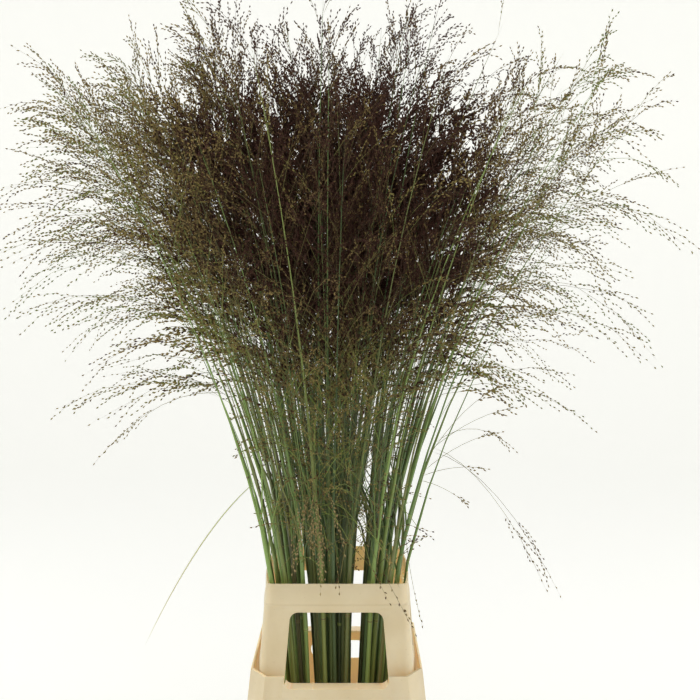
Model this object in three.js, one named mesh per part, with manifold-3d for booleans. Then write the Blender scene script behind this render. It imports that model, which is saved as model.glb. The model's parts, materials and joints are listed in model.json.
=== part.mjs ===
// A bunch of cut switchgrass standing in a two-part flower bucket.
// Millimetres, +Z up. The origin is the centre of the bucket's underside and the front faces -Y.

import * as THREE from 'three';
import { mergeVertices } from 'three/addons/utils/BufferGeometryUtils.js';
import Module from 'manifold-3d';

const wasm = await Module();
wasm.setup();

// ---- Bucket ----
const roundSteps = 3; // straight pieces in a round corner
const seatGap = 0.3; // between pieces that rest on each other
const bucketHeight = 230;
const bucketHalfWidth = 122; // at the rim, outside
const bucketHalfLength = 176;
const bucketCornerX = 22.6; // the slanted corner takes this much off the width
const bucketCornerY = 44; // and this much off the length
const bucketFlare = 0.106; // the walls lean out by this much per mm going down
const bucketWall = 3;
const bucketFloor = 3;
const notchDepth = 17; // in the front and back rim
const notchHalfWidth = 73;
const notchRadius = 11;
const ledgeDepth = 17; // the inner ledge that the collar stands on
const ledgeThickness = 3;
const gripHalfWidth = 45; // finger slots in the front and back walls
const gripTop = 190;
const gripBottom = 160;

// ---- Collar ----
const collarTop = 352;
const collarFoot = bucketHeight - notchDepth + seatGap;
const collarHalfWidth = 100; // at the top, outside
const collarHalfLength = 143;
const collarGrowth = 10; // the foot is this much wider on each side
const collarBulge = 6; // the long sides are crowned
const collarCorner = 12;
const collarWall = 2.5;
const bandHeight = 29; // plain band round the top
const bandStep = 1.2; // the wall below stands this much proud of the band
const windowTop = 312;
const windowHalfTop = 65.5; // front and back windows, open at the foot
const windowHalfFoot = 74;
const windowRadius = 11;
const sideWindowHalf = 50;
const sideWindowCentre = 62;
const sideWindowFoot = 234;

// ---- Grass ----
const rows = 11; // culms stand in rows from front to back
const columns = 8;
const shootEvery = [true, false, true, false, true]; // which stems of a row have a side shoot
const culmBase = bucketFloor + seatGap;
const rimLevel = collarTop;
// Half of the bunch's width (x) and depth (y): at the floor, at the collar's rim, and above it
// rim + lean h + arch h^2 at a height h over the rim.
const fanX = { floor: 56, rim: 91, lean: 0.2, arch: 0.00038 };
const fanY = { floor: 80, rim: 124, lean: 0.11, arch: 0.0002 };
// The culms part along two lines that run up with the fan. Each line: where it crosses the width
// (as a share of half of it), how that shifts from the middle row to the back one, and how far it
// pushes the culms beside it at the floor and at the rim.
const partings = [
  { across: -0.525, slant: -0.04, floor: 0.15, rim: 0.055 },
  { across: 0.34, slant: 0.005, floor: 0.12, rim: 0.115 },
];
const partingReach = 0.7; // culms further off stay where they are
const partingClose = 300; // height over the rim at which the culms have closed up again
const baseJitter = 3;
const rimJitter = 4;
const tipWander = 52; // how far a tip may stray from the even fan
const leanRight = 14; // the whole bunch leans a little to +X
const wanderRise = 700;
const tallest = 1165;
const outerDrop = 105; // outer stems lean, so they end lower
const heightJitter = 42;
const shootLow = 50; // height at which a side shoot leaves its culm
const shootBlend = 95; // it reaches its own place this much higher
const shootShorter = [70, 230];
const panicleLength = [440, 520];
const shootPanicleLength = [330, 430];
const culmRadii = [3.4, 3.2, 2.6, 1.8, 1.3, 0.95]; // from the base to the tip
const branchRadius = 0.6;
const spikeletRadius = 1.15;
const spikeletLength = 4.6;
const branchesPerCulm = 4;
const branchesPerShoot = 3;
const branchLengths = [320, 90]; // lowest and uppermost
const outerReach = 0.3; // branches of the outermost culms are longer by this share
const branchAngles = [0.76, 0.36]; // from the stem, in radians
const goldenTurn = 2.399963;
const clearance = 0.45; // kept between branches of different stems
const tries = 14;

// Loose branches that hang lower or reach out further than the rest: the row and column of their
// culm, the height at which they leave it, how far they rise over the straight way, and their tips.
const looseBranches = [
  { row: 0, column: 3, from: 520, rise: 30, tip: [-21, -200, 344] },
  { row: 3, column: 7, from: 530, rise: 45, tip: [336, -60, 303] },
  { row: 3, column: 7, from: 536, rise: 40, tip: [307, -110, 325] },
  { row: 3, column: 7, from: 541, rise: 30, tip: [277, 10, 517] },
  { row: 4, column: 0, from: 610, rise: 40, tip: [-368, -40, 502] },
  { row: 6, column: 7, from: 790, rise: 35, tip: [550, 40, 962] },
  { row: 8, column: 7, from: 850, rise: 30, tip: [524, 150, 1085] },
  { row: 5, column: 0, from: 810, rise: 35, tip: [-509, -20, 985] },
  { row: 3, column: 0, from: 880, rise: 25, tip: [-470, -120, 1120] },
];

// The one long leaf blade, on a culm at the front left.
const leaf = { row: 2, column: 0, from: 489, rise: 26, tip: [-277, -110, 254] };
const leafHalfWidth = 3.2;
const leafHalfThickness = 0.5;
const leafTaper = [0.8, 1, 1, 0.85, 0.6, 0.3]; // share of that size from its foot to its tip

// ---- Colours ----
const beige = 0xd9cba6;
const stemGreen = 0x5d7038;

// ---------------------------------------------------------------------------------------------
// Joining and cutting

function solid(geometry) {
  geometry.deleteAttribute('normal');
  geometry.deleteAttribute('uv');
  const welded = mergeVertices(geometry, 1e-4);
  return new wasm.Manifold(new wasm.Mesh({
    numProp: 3,
    vertProperties: new Float32Array(welded.attributes.position.array),
    triVerts: new Uint32Array(welded.index.array),
  }));
}

function meshOf(body, name, colour, roughness) {
  const result = body.getMesh();
  const geometry = new THREE.BufferGeometry();
  geometry.setAttribute('position', new THREE.BufferAttribute(result.vertProperties, 3));
  geometry.setIndex(new THREE.BufferAttribute(result.triVerts, 1));
  geometry.computeVertexNormals();
  const material = new THREE.MeshStandardMaterial({ color: colour, roughness, metalness: 0 });
  const mesh = new THREE.Mesh(geometry, material);
  mesh.name = name;
  return mesh;
}

// ---------------------------------------------------------------------------------------------
// Holder

// An outline raised through levels, each with its height z and how much it grows outwards there.
function layered(outline, halfWidth, halfLength, levels) {
  const steps = levels.length - 1;
  const geometry = new THREE.ExtrudeGeometry(outline, {
    depth: steps, steps, bevelEnabled: false, curveSegments: roundSteps,
  });
  const position = geometry.attributes.position;
  for (let i = 0; i < position.count; i++) {
    const level = levels[Math.round(position.getZ(i))];
    position.setXYZ(
      i,
      position.getX(i) * (halfWidth + level.grow) / halfWidth,
      position.getY(i) * (halfLength + level.grow) / halfLength,
      level.z,
    );
  }
  return solid(geometry);
}

function octagon(halfWidth, halfLength) {
  const shape = new THREE.Shape();
  const innerX = halfWidth - bucketCornerX;
  const innerY = halfLength - bucketCornerY;
  shape.moveTo(-innerX, -halfLength);
  shape.lineTo(innerX, -halfLength);
  shape.lineTo(halfWidth, -innerY);
  shape.lineTo(halfWidth, innerY);
  shape.lineTo(innerX, halfLength);
  shape.lineTo(-innerX, halfLength);
  shape.lineTo(-halfWidth, innerY);
  shape.lineTo(-halfWidth, -innerY);
  shape.closePath();
  return shape;
}

// A rectangle with round corners whose long sides are crowned outwards.
function crownedRectangle(halfWidth, halfLength, radius, bulge) {
  const shape = new THREE.Shape();
  const x = halfWidth - radius;
  const y = halfLength - radius;
  shape.moveTo(-x, -halfLength);
  shape.lineTo(x, -halfLength);
  shape.absarc(x, -y, radius, -Math.PI / 2, 0, false);
  shape.quadraticCurveTo(halfWidth + 2 * bulge, 0, halfWidth, y);
  shape.absarc(x, y, radius, 0, Math.PI / 2, false);
  shape.lineTo(-x, halfLength);
  shape.absarc(-x, y, radius, Math.PI / 2, Math.PI, false);
  shape.quadraticCurveTo(-halfWidth - 2 * bulge, 0, -halfWidth, -y);
  shape.absarc(-x, -y, radius, Math.PI, Math.PI * 1.5, false);
  return shape;
}

// A cutter through the holder: a panel shape (across, up) with round corners, pushed right through.
// corners: [across, up, radius], anticlockwise.
function cutter(corners, reach, alongX) {
  const shape = new THREE.Shape();
  const points = corners.map(([across, up]) => new THREE.Vector2(across, up));
  points.forEach((corner, i) => {
    const radius = corners[i][2];
    const before = points[(i + points.length - 1) % points.length];
    const after = points[(i + 1) % points.length];
    const start = before.clone().sub(corner).setLength(radius).add(corner);
    const end = after.clone().sub(corner).setLength(radius).add(corner);
    if (i === 0) shape.moveTo(start.x, start.y);
    else shape.lineTo(start.x, start.y);
    if (radius > 0) shape.quadraticCurveTo(corner.x, corner.y, end.x, end.y);
  });
  shape.closePath();
  const geometry = new THREE.ExtrudeGeometry(shape, {
    depth: 2 * reach, bevelEnabled: false, curveSegments: roundSteps,
  });
  geometry.translate(0, 0, -reach);
  geometry.rotateX(Math.PI / 2);
  if (alongX) geometry.rotateZ(Math.PI / 2);
  return solid(geometry);
}

function bucketBody() {
  const growth = bucketFlare * bucketHeight;
  const innerWidth = bucketHalfWidth - bucketWall;
  const innerLength = bucketHalfLength - bucketWall;
  const growthAt = (z) => growth * (1 - z / bucketHeight);
  const levels = (from, to) => [{ z: from, grow: growthAt(from) }, { z: to, grow: growthAt(to) }];
  const outer = layered(
    octagon(bucketHalfWidth, bucketHalfLength), bucketHalfWidth, bucketHalfLength,
    levels(0, bucketHeight),
  );
  const hollow = layered(
    octagon(innerWidth, innerLength), innerWidth, innerLength,
    levels(bucketFloor, bucketHeight + 1),
  );
  const ledgeTop = bucketHeight - notchDepth;
  const ledgeShape = octagon(bucketHalfWidth - 1, bucketHalfLength - 1);
  ledgeShape.holes.push(crownedRectangle(
    innerWidth - ledgeDepth, innerLength - ledgeDepth - bucketCornerX / 2, bucketCornerX, 0,
  ));
  const ledge = layered(ledgeShape, bucketHalfWidth, bucketHalfLength, [
    { z: ledgeTop - ledgeThickness, grow: growthAt(ledgeTop) },
    { z: ledgeTop, grow: growthAt(ledgeTop) },
  ]);
  const notch = cutter([
    [-notchHalfWidth, ledgeTop, notchRadius], [notchHalfWidth, ledgeTop, notchRadius],
    [notchHalfWidth, bucketHeight + 2, 0], [-notchHalfWidth, bucketHeight + 2, 0],
  ], 2 * bucketHalfLength, false);
  const gripRadius = (gripTop - gripBottom) / 2 - 1;
  const grip = cutter([
    [-gripHalfWidth, gripBottom, gripRadius], [gripHalfWidth, gripBottom, gripRadius],
    [gripHalfWidth, gripTop, gripRadius], [-gripHalfWidth, gripTop, gripRadius],
  ], 2 * bucketHalfLength, false);
  return outer.subtract(hollow).add(ledge).subtract(notch).subtract(grip);
}

function collarBody() {
  const wall = (halfWidth, halfLength, radius, levels) => layered(
    crownedRectangle(halfWidth, halfLength, radius, collarBulge), halfWidth, halfLength, levels,
  );
  const growthAt = (z) => collarGrowth * (collarTop - z) / (collarTop - collarFoot);
  const bandFoot = collarTop - bandHeight;
  const outer = wall(collarHalfWidth, collarHalfLength, collarCorner, [
    { z: collarFoot, grow: growthAt(collarFoot) },
    { z: bandFoot - bandStep, grow: growthAt(bandFoot) },
    { z: bandFoot, grow: growthAt(bandFoot) - bandStep },
    { z: collarTop, grow: growthAt(collarTop) },
  ]);
  const hollow = wall(
    collarHalfWidth - collarWall - bandStep, collarHalfLength - collarWall - bandStep,
    collarCorner - collarWall, [
      { z: collarFoot - 2, grow: growthAt(collarFoot) + bandStep },
      { z: bandFoot - bandStep, grow: growthAt(bandFoot) + bandStep },
      { z: bandFoot, grow: growthAt(bandFoot) },
      { z: collarTop + 2, grow: bandStep },
    ],
  );
  const opening = cutter([
    [-windowHalfFoot, collarFoot - 4, 0], [windowHalfFoot, collarFoot - 4, 0],
    [windowHalfTop, windowTop, windowRadius], [-windowHalfTop, windowTop, windowRadius],
  ], 2 * collarHalfLength, false);
  let body = outer.subtract(hollow).subtract(opening);
  for (const side of [-1, 1]) {
    const centre = side * sideWindowCentre;
    body = body.subtract(cutter([
      [centre - sideWindowHalf, sideWindowFoot, windowRadius],
      [centre + sideWindowHalf, sideWindowFoot, windowRadius],
      [centre + sideWindowHalf - 3, windowTop, windowRadius],
      [centre - sideWindowHalf + 3, windowTop, windowRadius],
    ], 2 * collarHalfLength, true));
  }
  return body;
}

// ---------------------------------------------------------------------------------------------
// Grass

// Repeatable draws between 0 and 1.
function dice(seed) {
  let state = (Math.imul(seed, 747796405) + 2891336453) >>> 0;
  const next = () => {
    state = (Math.imul(state, 1664525) + 1013904223) >>> 0;
    return state / 4294967296;
  };
  next();
  next();
  return next;
}

const mix = (from, to, share) => from + (to - from) * share;
const spread = (draw, size) => (2 * draw() - 1) * size;
const smooth = (share) => {
  const s = Math.min(Math.max(share, 0), 1);
  return s * s * (3 - 2 * s);
};
const fan = ({ floor, rim, lean, arch }, z) => {
  const above = z - rimLevel;
  return above < 0 ? mix(floor, rim, z / rimLevel) : rim + lean * above + arch * above * above;
};

// One culm: where it stands in the bunch, how tall it is and how it strays.
function culm(row, column) {
  const number = row * columns + column;
  const draw = dice(1000 + number);
  const shift = (row * 0.618) % 1 - 0.5;
  const u = (column - (columns - 1) / 2 + shift) / (columns / 2);
  const v = (row - (rows - 1) / 2) / ((rows - 1) / 2);
  return {
    number,
    u,
    v,
    base: [spread(draw, baseJitter), spread(draw, baseJitter)],
    rim: [spread(draw, rimJitter), spread(draw, rimJitter)],
    wander: [spread(draw, tipWander) + leanRight, spread(draw, tipWander)],
    tip: tallest - outerDrop * Math.min(u * u + v * v, 1.45) + spread(draw, heightJitter),
    panicle: mix(...panicleLength, draw()),
    shorter: mix(...shootShorter, draw()),
    turn: draw() * Math.PI * 2,
  };
}

// How far the partings push a culm, at the floor or at the rim.
function parted({ u, v }, level) {
  return partings.reduce((sum, parting) => {
    const off = u - parting.across - parting.slant * v;
    const near = Math.max(1 - Math.abs(off) / partingReach, 0);
    return sum + Math.sign(off) * parting[level] * near * near;
  }, 0);
}

// The middle of a culm at height z.
function culmAt(stalk, z) {
  const low = Math.min(z / rimLevel, 1);
  const above = Math.max(z - rimLevel, 0);
  const stray = above / wanderRise;
  const atRim = parted(stalk, 'rim');
  const push = above > 0
    ? atRim * (1 - smooth(above / partingClose)) * fan(fanX, z)
    : mix(parted(stalk, 'floor') * fanX.floor, atRim * fanX.rim, low);
  const x = stalk.u * fan(fanX, z) + push + mix(stalk.base[0], stalk.rim[0], low)
    + stalk.wander[0] * stray * stray;
  const y = stalk.v * fan(fanY, z) + mix(stalk.base[1], stalk.rim[1], low)
    + stalk.wander[1] * stray * stray;
  return new THREE.Vector3(x, y, z);
}

// A side shoot runs up inside its parent's place and swings over to its own.
function shootAt(parent, stalk, z) {
  const share = smooth((z - shootLow) / shootBlend);
  return culmAt(parent, z).lerp(culmAt(stalk, z), share);
}

function levelsOf(stalk, first) {
  const panicleFoot = stalk.tip - stalk.panicle;
  return [
    first, rimLevel, mix(rimLevel, panicleFoot, 0.55),
    panicleFoot, mix(panicleFoot, stalk.tip, 0.5), stalk.tip,
  ];
}

// A curve through its stations, without any smoothing between them.
class Route extends THREE.Curve {
  constructor(stations, upright) {
    super();
    this.stations = stations;
    this.upright = upright; // the first section lies level
  }

  getSpacedPoints() {
    return this.stations;
  }

  getTangentAt(share) {
    const last = this.stations.length - 1;
    const i = Math.round(share * last);
    if (i === 0 && this.upright) return new THREE.Vector3(0, 0, 1);
    const from = this.stations[Math.max(i - 1, 0)];
    const to = this.stations[Math.min(i + 1, last)];
    return to.clone().sub(from).normalize();
  }
}

function ring(sides, width = 1, height = 1) {
  const shape = new THREE.Shape();
  for (let i = 0; i < sides; i++) {
    const angle = i * 2 * Math.PI / sides;
    const [x, y] = [Math.cos(angle) * width, Math.sin(angle) * height];
    if (i === 0) shape.moveTo(x, y);
    else shape.lineTo(x, y);
  }
  shape.closePath();
  return shape;
}

// A stalk along stations with its own radius at each; the section is a ring of radius 1.
function stalkSolid(stations, radii, section, upright = false) {
  const geometry = new THREE.ExtrudeGeometry(section, {
    steps: stations.length - 1, extrudePath: new Route(stations, upright), bevelEnabled: false,
  });
  const position = geometry.attributes.position;
  const point = new THREE.Vector3();
  for (let i = 0; i < position.count; i++) {
    point.fromBufferAttribute(position, i);
    let nearest = 0;
    stations.forEach((station, k) => {
      if (point.distanceTo(station) < point.distanceTo(stations[nearest])) nearest = k;
    });
    point.sub(stations[nearest]).multiplyScalar(radii[nearest]).add(stations[nearest]);
    position.setXYZ(i, point.x, point.y, point.z);
  }
  return solid(geometry);
}

// The point of a stalk's own straight pieces at height z.
function onLine(stations, z) {
  const after = Math.max(stations.findIndex((station) => station.z > z), 1);
  const [from, to] = [stations[after - 1], stations[after]];
  return from.clone().lerp(to, (z - from.z) / (to.z - from.z));
}

// The stations of a branch: out from the stem at an angle, bending down under its own weight,
// with a spikelet at its end.
function branchStations(stalk, line, index, count, attempt) {
  const draw = dice(100000 + stalk.number * 1000 + index * 40 + attempt);
  const height = Math.min((index + draw() * 0.9) / count, 0.97);
  const rootZ = stalk.tip - stalk.panicle * (1 - height);
  const root = onLine(line, rootZ);
  const along = onLine(line, rootZ + 5).sub(root).normalize();
  const across = new THREE.Vector3(0, 1, 0).cross(along).normalize();
  const other = along.clone().cross(across);
  const turn = stalk.turn + index * goldenTurn + spread(draw, 0.5 + 0.2 * attempt);
  const angle = mix(...branchAngles, height) + spread(draw, 0.1);
  const length = mix(...branchLengths, height) * (0.85 + 0.3 * draw())
    * (1 + outerReach * Math.abs(stalk.u));
  const heading = along.multiplyScalar(Math.cos(angle))
    .addScaledVector(across, Math.sin(angle) * Math.cos(turn))
    .addScaledVector(other, Math.sin(angle) * Math.sin(turn));
  const sag = 0.14 + 0.42 * (1 - heading.z * heading.z);
  const point = (share) => root.clone()
    .addScaledVector(heading, length * share)
    .add(new THREE.Vector3(0, 0, -sag * length * share * share));
  return [0, 0.5, 1 - spikeletLength / length, 1].map(point);
}

// Shortest distance between two straight pieces p0-p1 and q0-q1.
function apart(p0, p1, q0, q1) {
  const d1 = p1.clone().sub(p0);
  const d2 = q1.clone().sub(q0);
  const r = p0.clone().sub(q0);
  const a = d1.dot(d1);
  const e = d2.dot(d2);
  const f = d2.dot(r);
  const b = d1.dot(d2);
  const c = d1.dot(r);
  const clamp = (value) => Math.min(Math.max(value, 0), 1);
  const denominator = a * e - b * b;
  let s = denominator > 1e-9 ? clamp((b * f - c * e) / denominator) : 0;
  let t = (b * s + f) / e;
  if (t < 0 || t > 1) {
    t = clamp(t);
    s = clamp((b * t - c) / a);
  }
  return d1.multiplyScalar(s).add(p0).distanceTo(d2.multiplyScalar(t).add(q0));
}

const laid = []; // every straight piece of every stem so far: its ends, radius and stem

function isClear(stem, stations, radii) {
  for (const piece of laid) {
    if (piece.stem === stem) continue;
    for (let i = 1; i < stations.length; i++) {
      const need = piece.radius + Math.max(radii[i - 1], radii[i]) + clearance;
      const length = stations[i].distanceTo(stations[i - 1]);
      if (piece.middle.distanceTo(stations[i]) > piece.half + need + length) continue;
      if (apart(piece.from, piece.to, stations[i - 1], stations[i]) < need) return false;
    }
  }
  return true;
}

function lay(stem, stations, radii) {
  for (let i = 1; i < stations.length; i++) {
    laid.push({
      stem,
      from: stations[i - 1],
      to: stations[i],
      middle: stations[i].clone().lerp(stations[i - 1], 0.5),
      half: stations[i].distanceTo(stations[i - 1]) / 2,
      radius: Math.max(radii[i - 1], radii[i]),
    });
  }
}

const square = ring(4);
const triangle = ring(3);
const branchRadii = [branchRadius, branchRadius, branchRadius * 0.9, spikeletRadius];

// The stations of a loose branch or of the leaf: an arch from its culm to its tip.
function archStations(root, { rise, tip }, shares) {
  const end = new THREE.Vector3(...tip);
  return shares.map((share) => {
    const point = root.clone().lerp(end, share);
    point.z += 4 * rise * share * (1 - share);
    return point;
  });
}

// Stems of the bunch: a culm and, for some, a side shoot in the next place of the row.
function planStems() {
  const stems = [];
  for (let row = 0; row < rows; row++) {
    const place = (column) => culm(row, row % 2 ? columns - 1 - column : column);
    let column = 0;
    for (let i = 0; i < shootEvery.length; i++) {
      const main = place(column);
      const stalks = [{ stalk: main, at: (z) => culmAt(main, z), first: culmBase }];
      column += 1;
      if (shootEvery[(i + row) % shootEvery.length]) {
        const side = place(column);
        const draw = dice(5000 + side.number);
        side.tip -= side.shorter;
        side.panicle = mix(...shootPanicleLength, draw());
        stalks.push({ stalk: side, at: (z) => shootAt(main, side, z), first: shootLow });
        column += 1;
      }
      stems.push(stalks);
    }
  }
  return stems;
}

function growStems() {
  const stems = planStems();
  const parts = stems.map(() => []);
  const lines = new Map(); // the stations of each culm
  stems.forEach((stalks, stem) => {
    for (const { stalk, at, first } of stalks) {
      const levels = levelsOf(stalk, first);
      if (first > culmBase) levels.splice(1, 0, shootLow + shootBlend);
      const radii = first > culmBase ? [culmRadii[0] * 0.8, ...culmRadii.map((r) => r * 0.85)]
        : culmRadii;
      const stations = levels.map(at);
      lay(stem, stations, radii);
      lines.set(stalk, stations);
      parts[stem].push(stalkSolid(stations, radii, square, first === culmBase));
    }
  });
  stems.forEach((stalks, stem) => {
    stalks.forEach(({ stalk }, k) => {
      const line = lines.get(stalk);
      const count = k === 0 ? branchesPerCulm : branchesPerShoot;
      for (let i = 0; i < count; i++) {
        let attempt = 0;
        let stations = branchStations(stalk, line, i, count, attempt);
        while (attempt < tries && !isClear(stem, stations, branchRadii)) {
          attempt += 1;
          stations = branchStations(stalk, line, i, count, attempt);
        }
        if (attempt === tries) continue; // there is no room for this one
        lay(stem, stations, branchRadii);
        parts[stem].push(stalkSolid(stations, branchRadii, triangle));
      }
    });
  });
  const stemOf = ({ row, column }) => stems.findIndex((stalks) => stalks.some(
    ({ stalk }) => stalk.number === row * columns + column,
  ));
  const lineOf = ({ row, column }) => [...lines].find(
    ([stalk]) => stalk.number === row * columns + column,
  )[1];
  for (const branch of looseBranches) {
    const stem = stemOf(branch);
    const root = onLine(lineOf(branch), branch.from);
    const stations = archStations(root, branch, [0, 0.3, 0.65, 0.985, 1]);
    const radii = [branchRadius, ...branchRadii];
    if (!isClear(stem, stations, radii)) throw new Error(`loose branch from ${branch.from}`);
    lay(stem, stations, radii);
    parts[stem].push(stalkSolid(stations, radii, triangle));
  }
  const leafStem = stemOf(leaf);
  const leafFoot = onLine(lineOf(leaf), leaf.from);
  const blade = archStations(leafFoot, leaf, [0, 0.15, 0.35, 0.6, 0.8, 1]);
  const bladeSection = ring(4, leafHalfThickness, leafHalfWidth);
  parts[leafStem].push(stalkSolid(blade, leafTaper, bladeSection));
  return parts.map((pieces) => pieces.reduce((whole, piece) => whole.add(piece)));
}

// ---------------------------------------------------------------------------------------------

const group = new THREE.Group();
group.add(meshOf(bucketBody(), 'bucket', beige, 0.55));
group.add(meshOf(collarBody(), 'collar', beige, 0.5));
growStems().forEach((body, i) => {
  group.add(meshOf(body, `stem_${String(i + 1).padStart(2, '0')}`, stemGreen, 0.7));
});

export default group;
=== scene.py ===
"""Dresses a bunch of cut switchgrass that stands in a flower bucket with a windowed collar."""

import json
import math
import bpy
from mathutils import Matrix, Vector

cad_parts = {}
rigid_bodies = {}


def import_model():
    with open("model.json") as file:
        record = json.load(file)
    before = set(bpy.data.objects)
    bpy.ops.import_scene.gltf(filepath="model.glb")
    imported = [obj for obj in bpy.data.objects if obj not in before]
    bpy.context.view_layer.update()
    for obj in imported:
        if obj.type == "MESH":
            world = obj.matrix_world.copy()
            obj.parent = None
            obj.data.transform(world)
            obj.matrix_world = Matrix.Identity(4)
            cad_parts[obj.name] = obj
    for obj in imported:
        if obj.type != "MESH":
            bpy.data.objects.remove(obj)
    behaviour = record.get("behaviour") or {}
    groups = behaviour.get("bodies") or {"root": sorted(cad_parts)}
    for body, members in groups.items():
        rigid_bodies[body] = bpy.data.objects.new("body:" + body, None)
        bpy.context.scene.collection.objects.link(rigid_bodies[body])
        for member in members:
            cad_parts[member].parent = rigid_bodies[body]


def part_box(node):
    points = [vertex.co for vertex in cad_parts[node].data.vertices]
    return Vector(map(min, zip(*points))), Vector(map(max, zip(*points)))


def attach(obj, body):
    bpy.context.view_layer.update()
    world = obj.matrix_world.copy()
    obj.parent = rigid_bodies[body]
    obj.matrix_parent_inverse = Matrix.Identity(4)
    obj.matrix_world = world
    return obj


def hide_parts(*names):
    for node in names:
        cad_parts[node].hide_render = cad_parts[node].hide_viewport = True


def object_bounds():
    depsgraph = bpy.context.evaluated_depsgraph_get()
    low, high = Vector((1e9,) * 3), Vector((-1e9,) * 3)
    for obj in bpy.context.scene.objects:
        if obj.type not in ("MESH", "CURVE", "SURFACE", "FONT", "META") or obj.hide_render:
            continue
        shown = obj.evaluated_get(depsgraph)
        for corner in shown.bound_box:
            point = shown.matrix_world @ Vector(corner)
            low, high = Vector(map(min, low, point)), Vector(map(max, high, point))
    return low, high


bl_info = {
    "name": "Switchgrass Bunch",
    "version": (1, 0, 0),
    "blender": (4, 5, 0),
    "location": "View3D > Sidebar > Switchgrass",
    "description": "A cut bunch of switchgrass in a flower bucket with a windowed collar",
    "category": "Add Mesh",
}

from typing import NamedTuple

import bmesh
import bpy
import numpy as np
from bpy.props import FloatProperty, FloatVectorProperty, IntProperty, PointerProperty
from mathutils import Matrix, Vector

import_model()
CAD_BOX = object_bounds()
_, BUCKET_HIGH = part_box("bucket")
COLLAR_LOW, COLLAR_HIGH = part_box("collar")

# ---- Bucket, in metres ----
BUCKET_FLARE = 0.106  # the walls lean out by this share going down
BUCKET_HEIGHT = BUCKET_HIGH.z
BUCKET_GROWTH = BUCKET_FLARE * BUCKET_HEIGHT
BUCKET_HALF_WIDTH = BUCKET_HIGH.x - BUCKET_GROWTH  # at the rim
BUCKET_HALF_LENGTH = BUCKET_HIGH.y - BUCKET_GROWTH
BUCKET_CORNER = (0.0226, 0.044)  # what the slanted corners take off the width and the length
BUCKET_FLOOR = 0.003
BUCKET_WALL = 0.003
NOTCH_DEPTH = 0.017
NOTCH_HALF_WIDTH = 0.073
NOTCH_RADIUS = 0.011
LEDGE_DEPTH = 0.017
LEDGE_THICKNESS = 0.003
LEDGE_TOP = BUCKET_HEIGHT - NOTCH_DEPTH
LEDGE_RIBS = (-0.033, 0.029)  # where thin ribs cross the front and back of the ledge
RIB_WIDTH = 0.0014
RIB_TOP = LEDGE_TOP + 0.0012
LIP_GAP = 0.0015  # between the ledge's lips and the sides of the notch
GRIP_HALF_WIDTH = 0.045
GRIP_LEVELS = (0.160, 0.190)
OVERLAP = 0.001  # how far parts that are joined or cut reach into or past each other

# ---- Collar, in metres ----
COLLAR_TOP = COLLAR_HIGH.z
COLLAR_FOOT = COLLAR_LOW.z
COLLAR_HALF_WIDTH = 0.100
COLLAR_HALF_LENGTH = 0.143
COLLAR_GROWTH = 0.010
COLLAR_BULGE = 0.006
COLLAR_CORNER = 0.012
COLLAR_WALL = 0.0025
BAND_FOOT = COLLAR_TOP - 0.029
BAND_STEP = 0.0012
WINDOW_TOP = 0.312
WINDOW_HALF_TOP = 0.0655
WINDOW_HALF_FOOT = 0.074
WINDOW_RADIUS = 0.011
SIDE_WINDOW_HALF = 0.050
SIDE_WINDOW_TAPER = 0.003
SIDE_WINDOW_CENTRE = 0.062
SIDE_WINDOW_FOOT = 0.234

# ---- Grass, in millimetres until a strand is drawn ----
MM = 0.001
ROWS = 11
COLUMNS = 8
SHOOT_EVERY = (True, False, True, False, True)  # which stems of a row have a side shoot
ROW_SHIFT = 0.618  # each row is shifted along by this share of a place more
LOW_SHOOTS = (5, 5, 2, 2, 2, 2, 2, 2, 2, 5, 5)  # of each culm, row by row
LOW_INWARDS = (-0.08, 0.3)  # how far towards the middle row and column the low shoots lean
LOW_STRAY = (0.8, 1)  # and how far they stray, in rows and columns
CULM_BASE = 3.3
RIM_LEVEL = 352
FAN_X = (56, 91, 0.2, 0.00038)  # half width at the floor and the rim, its lean and its arch above
FAN_Y = (80, 124, 0.11, 0.0002)
# The culms part along two lines that run up with the fan. Each line: where it crosses the width
# (as a share of half of it), how that shifts from the middle row to the back one, how far it
# pushes the culms beside it at the floor and at the rim, and how far over the rim it has closed.
PARTINGS = ((-0.525, -0.04, 0.15, 0.055, 130), (0.34, 0.005, 0.12, 0.115, 250))
PARTING_REACH = 0.7  # culms further off stay where they are
BASE_JITTER = 3
RIM_JITTER = 4
TIP_WANDER = 52
LEAN_RIGHT = 14
WANDER_RISE = 700
TALLEST = 1165
OUTER_DROP = 105  # outer culms end lower by this times the square of how far out they stand
OUTER_LIMIT = 1.45  # up to this square
HEIGHT_JITTER = 42
# At the base, the rim, half way, the foot of the head, its middle and the tip
CULM_RADII = (3.4, 3.2, 2.4, 1.35, 0.75, 0.3)
HALF_WAY = 0.55  # from the rim to the foot of the head
SEED_SPACING = 7.5  # of the spikelets along a twig
CORE_SEEDS = 1.15  # seeds in the thick of the bunch are drawn coarser by up to this share
CORE = ((-330, 300), (-215, 215), (560, 1120))  # and that is between these planes
CORE_EDGE = 180  # the way in from them to where it is full
OUTER_REACH = 0.3  # branches of the outermost culms are longer by this share
GOLDEN_TURN = 2.399963
TOP_FRINGE = (1085, 1230)  # the upper ends of the branches lie between these heights
BOX_MARGIN = 5  # nothing comes nearer than this to the sides of the solid stems' box


class Seed:
    """Where the numbers of each kind of draw start, so that none repeats another's."""

    STALK = 1000
    SHOOT_HEAD = 5000
    SHOOT_FOOT = 8000
    LOW_PLACE = 9000
    LAID_BRANCH = 100000
    BRANCH = 300000
    TINT = 400000
    HEAD = 600000
    CULM = 700000


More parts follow.
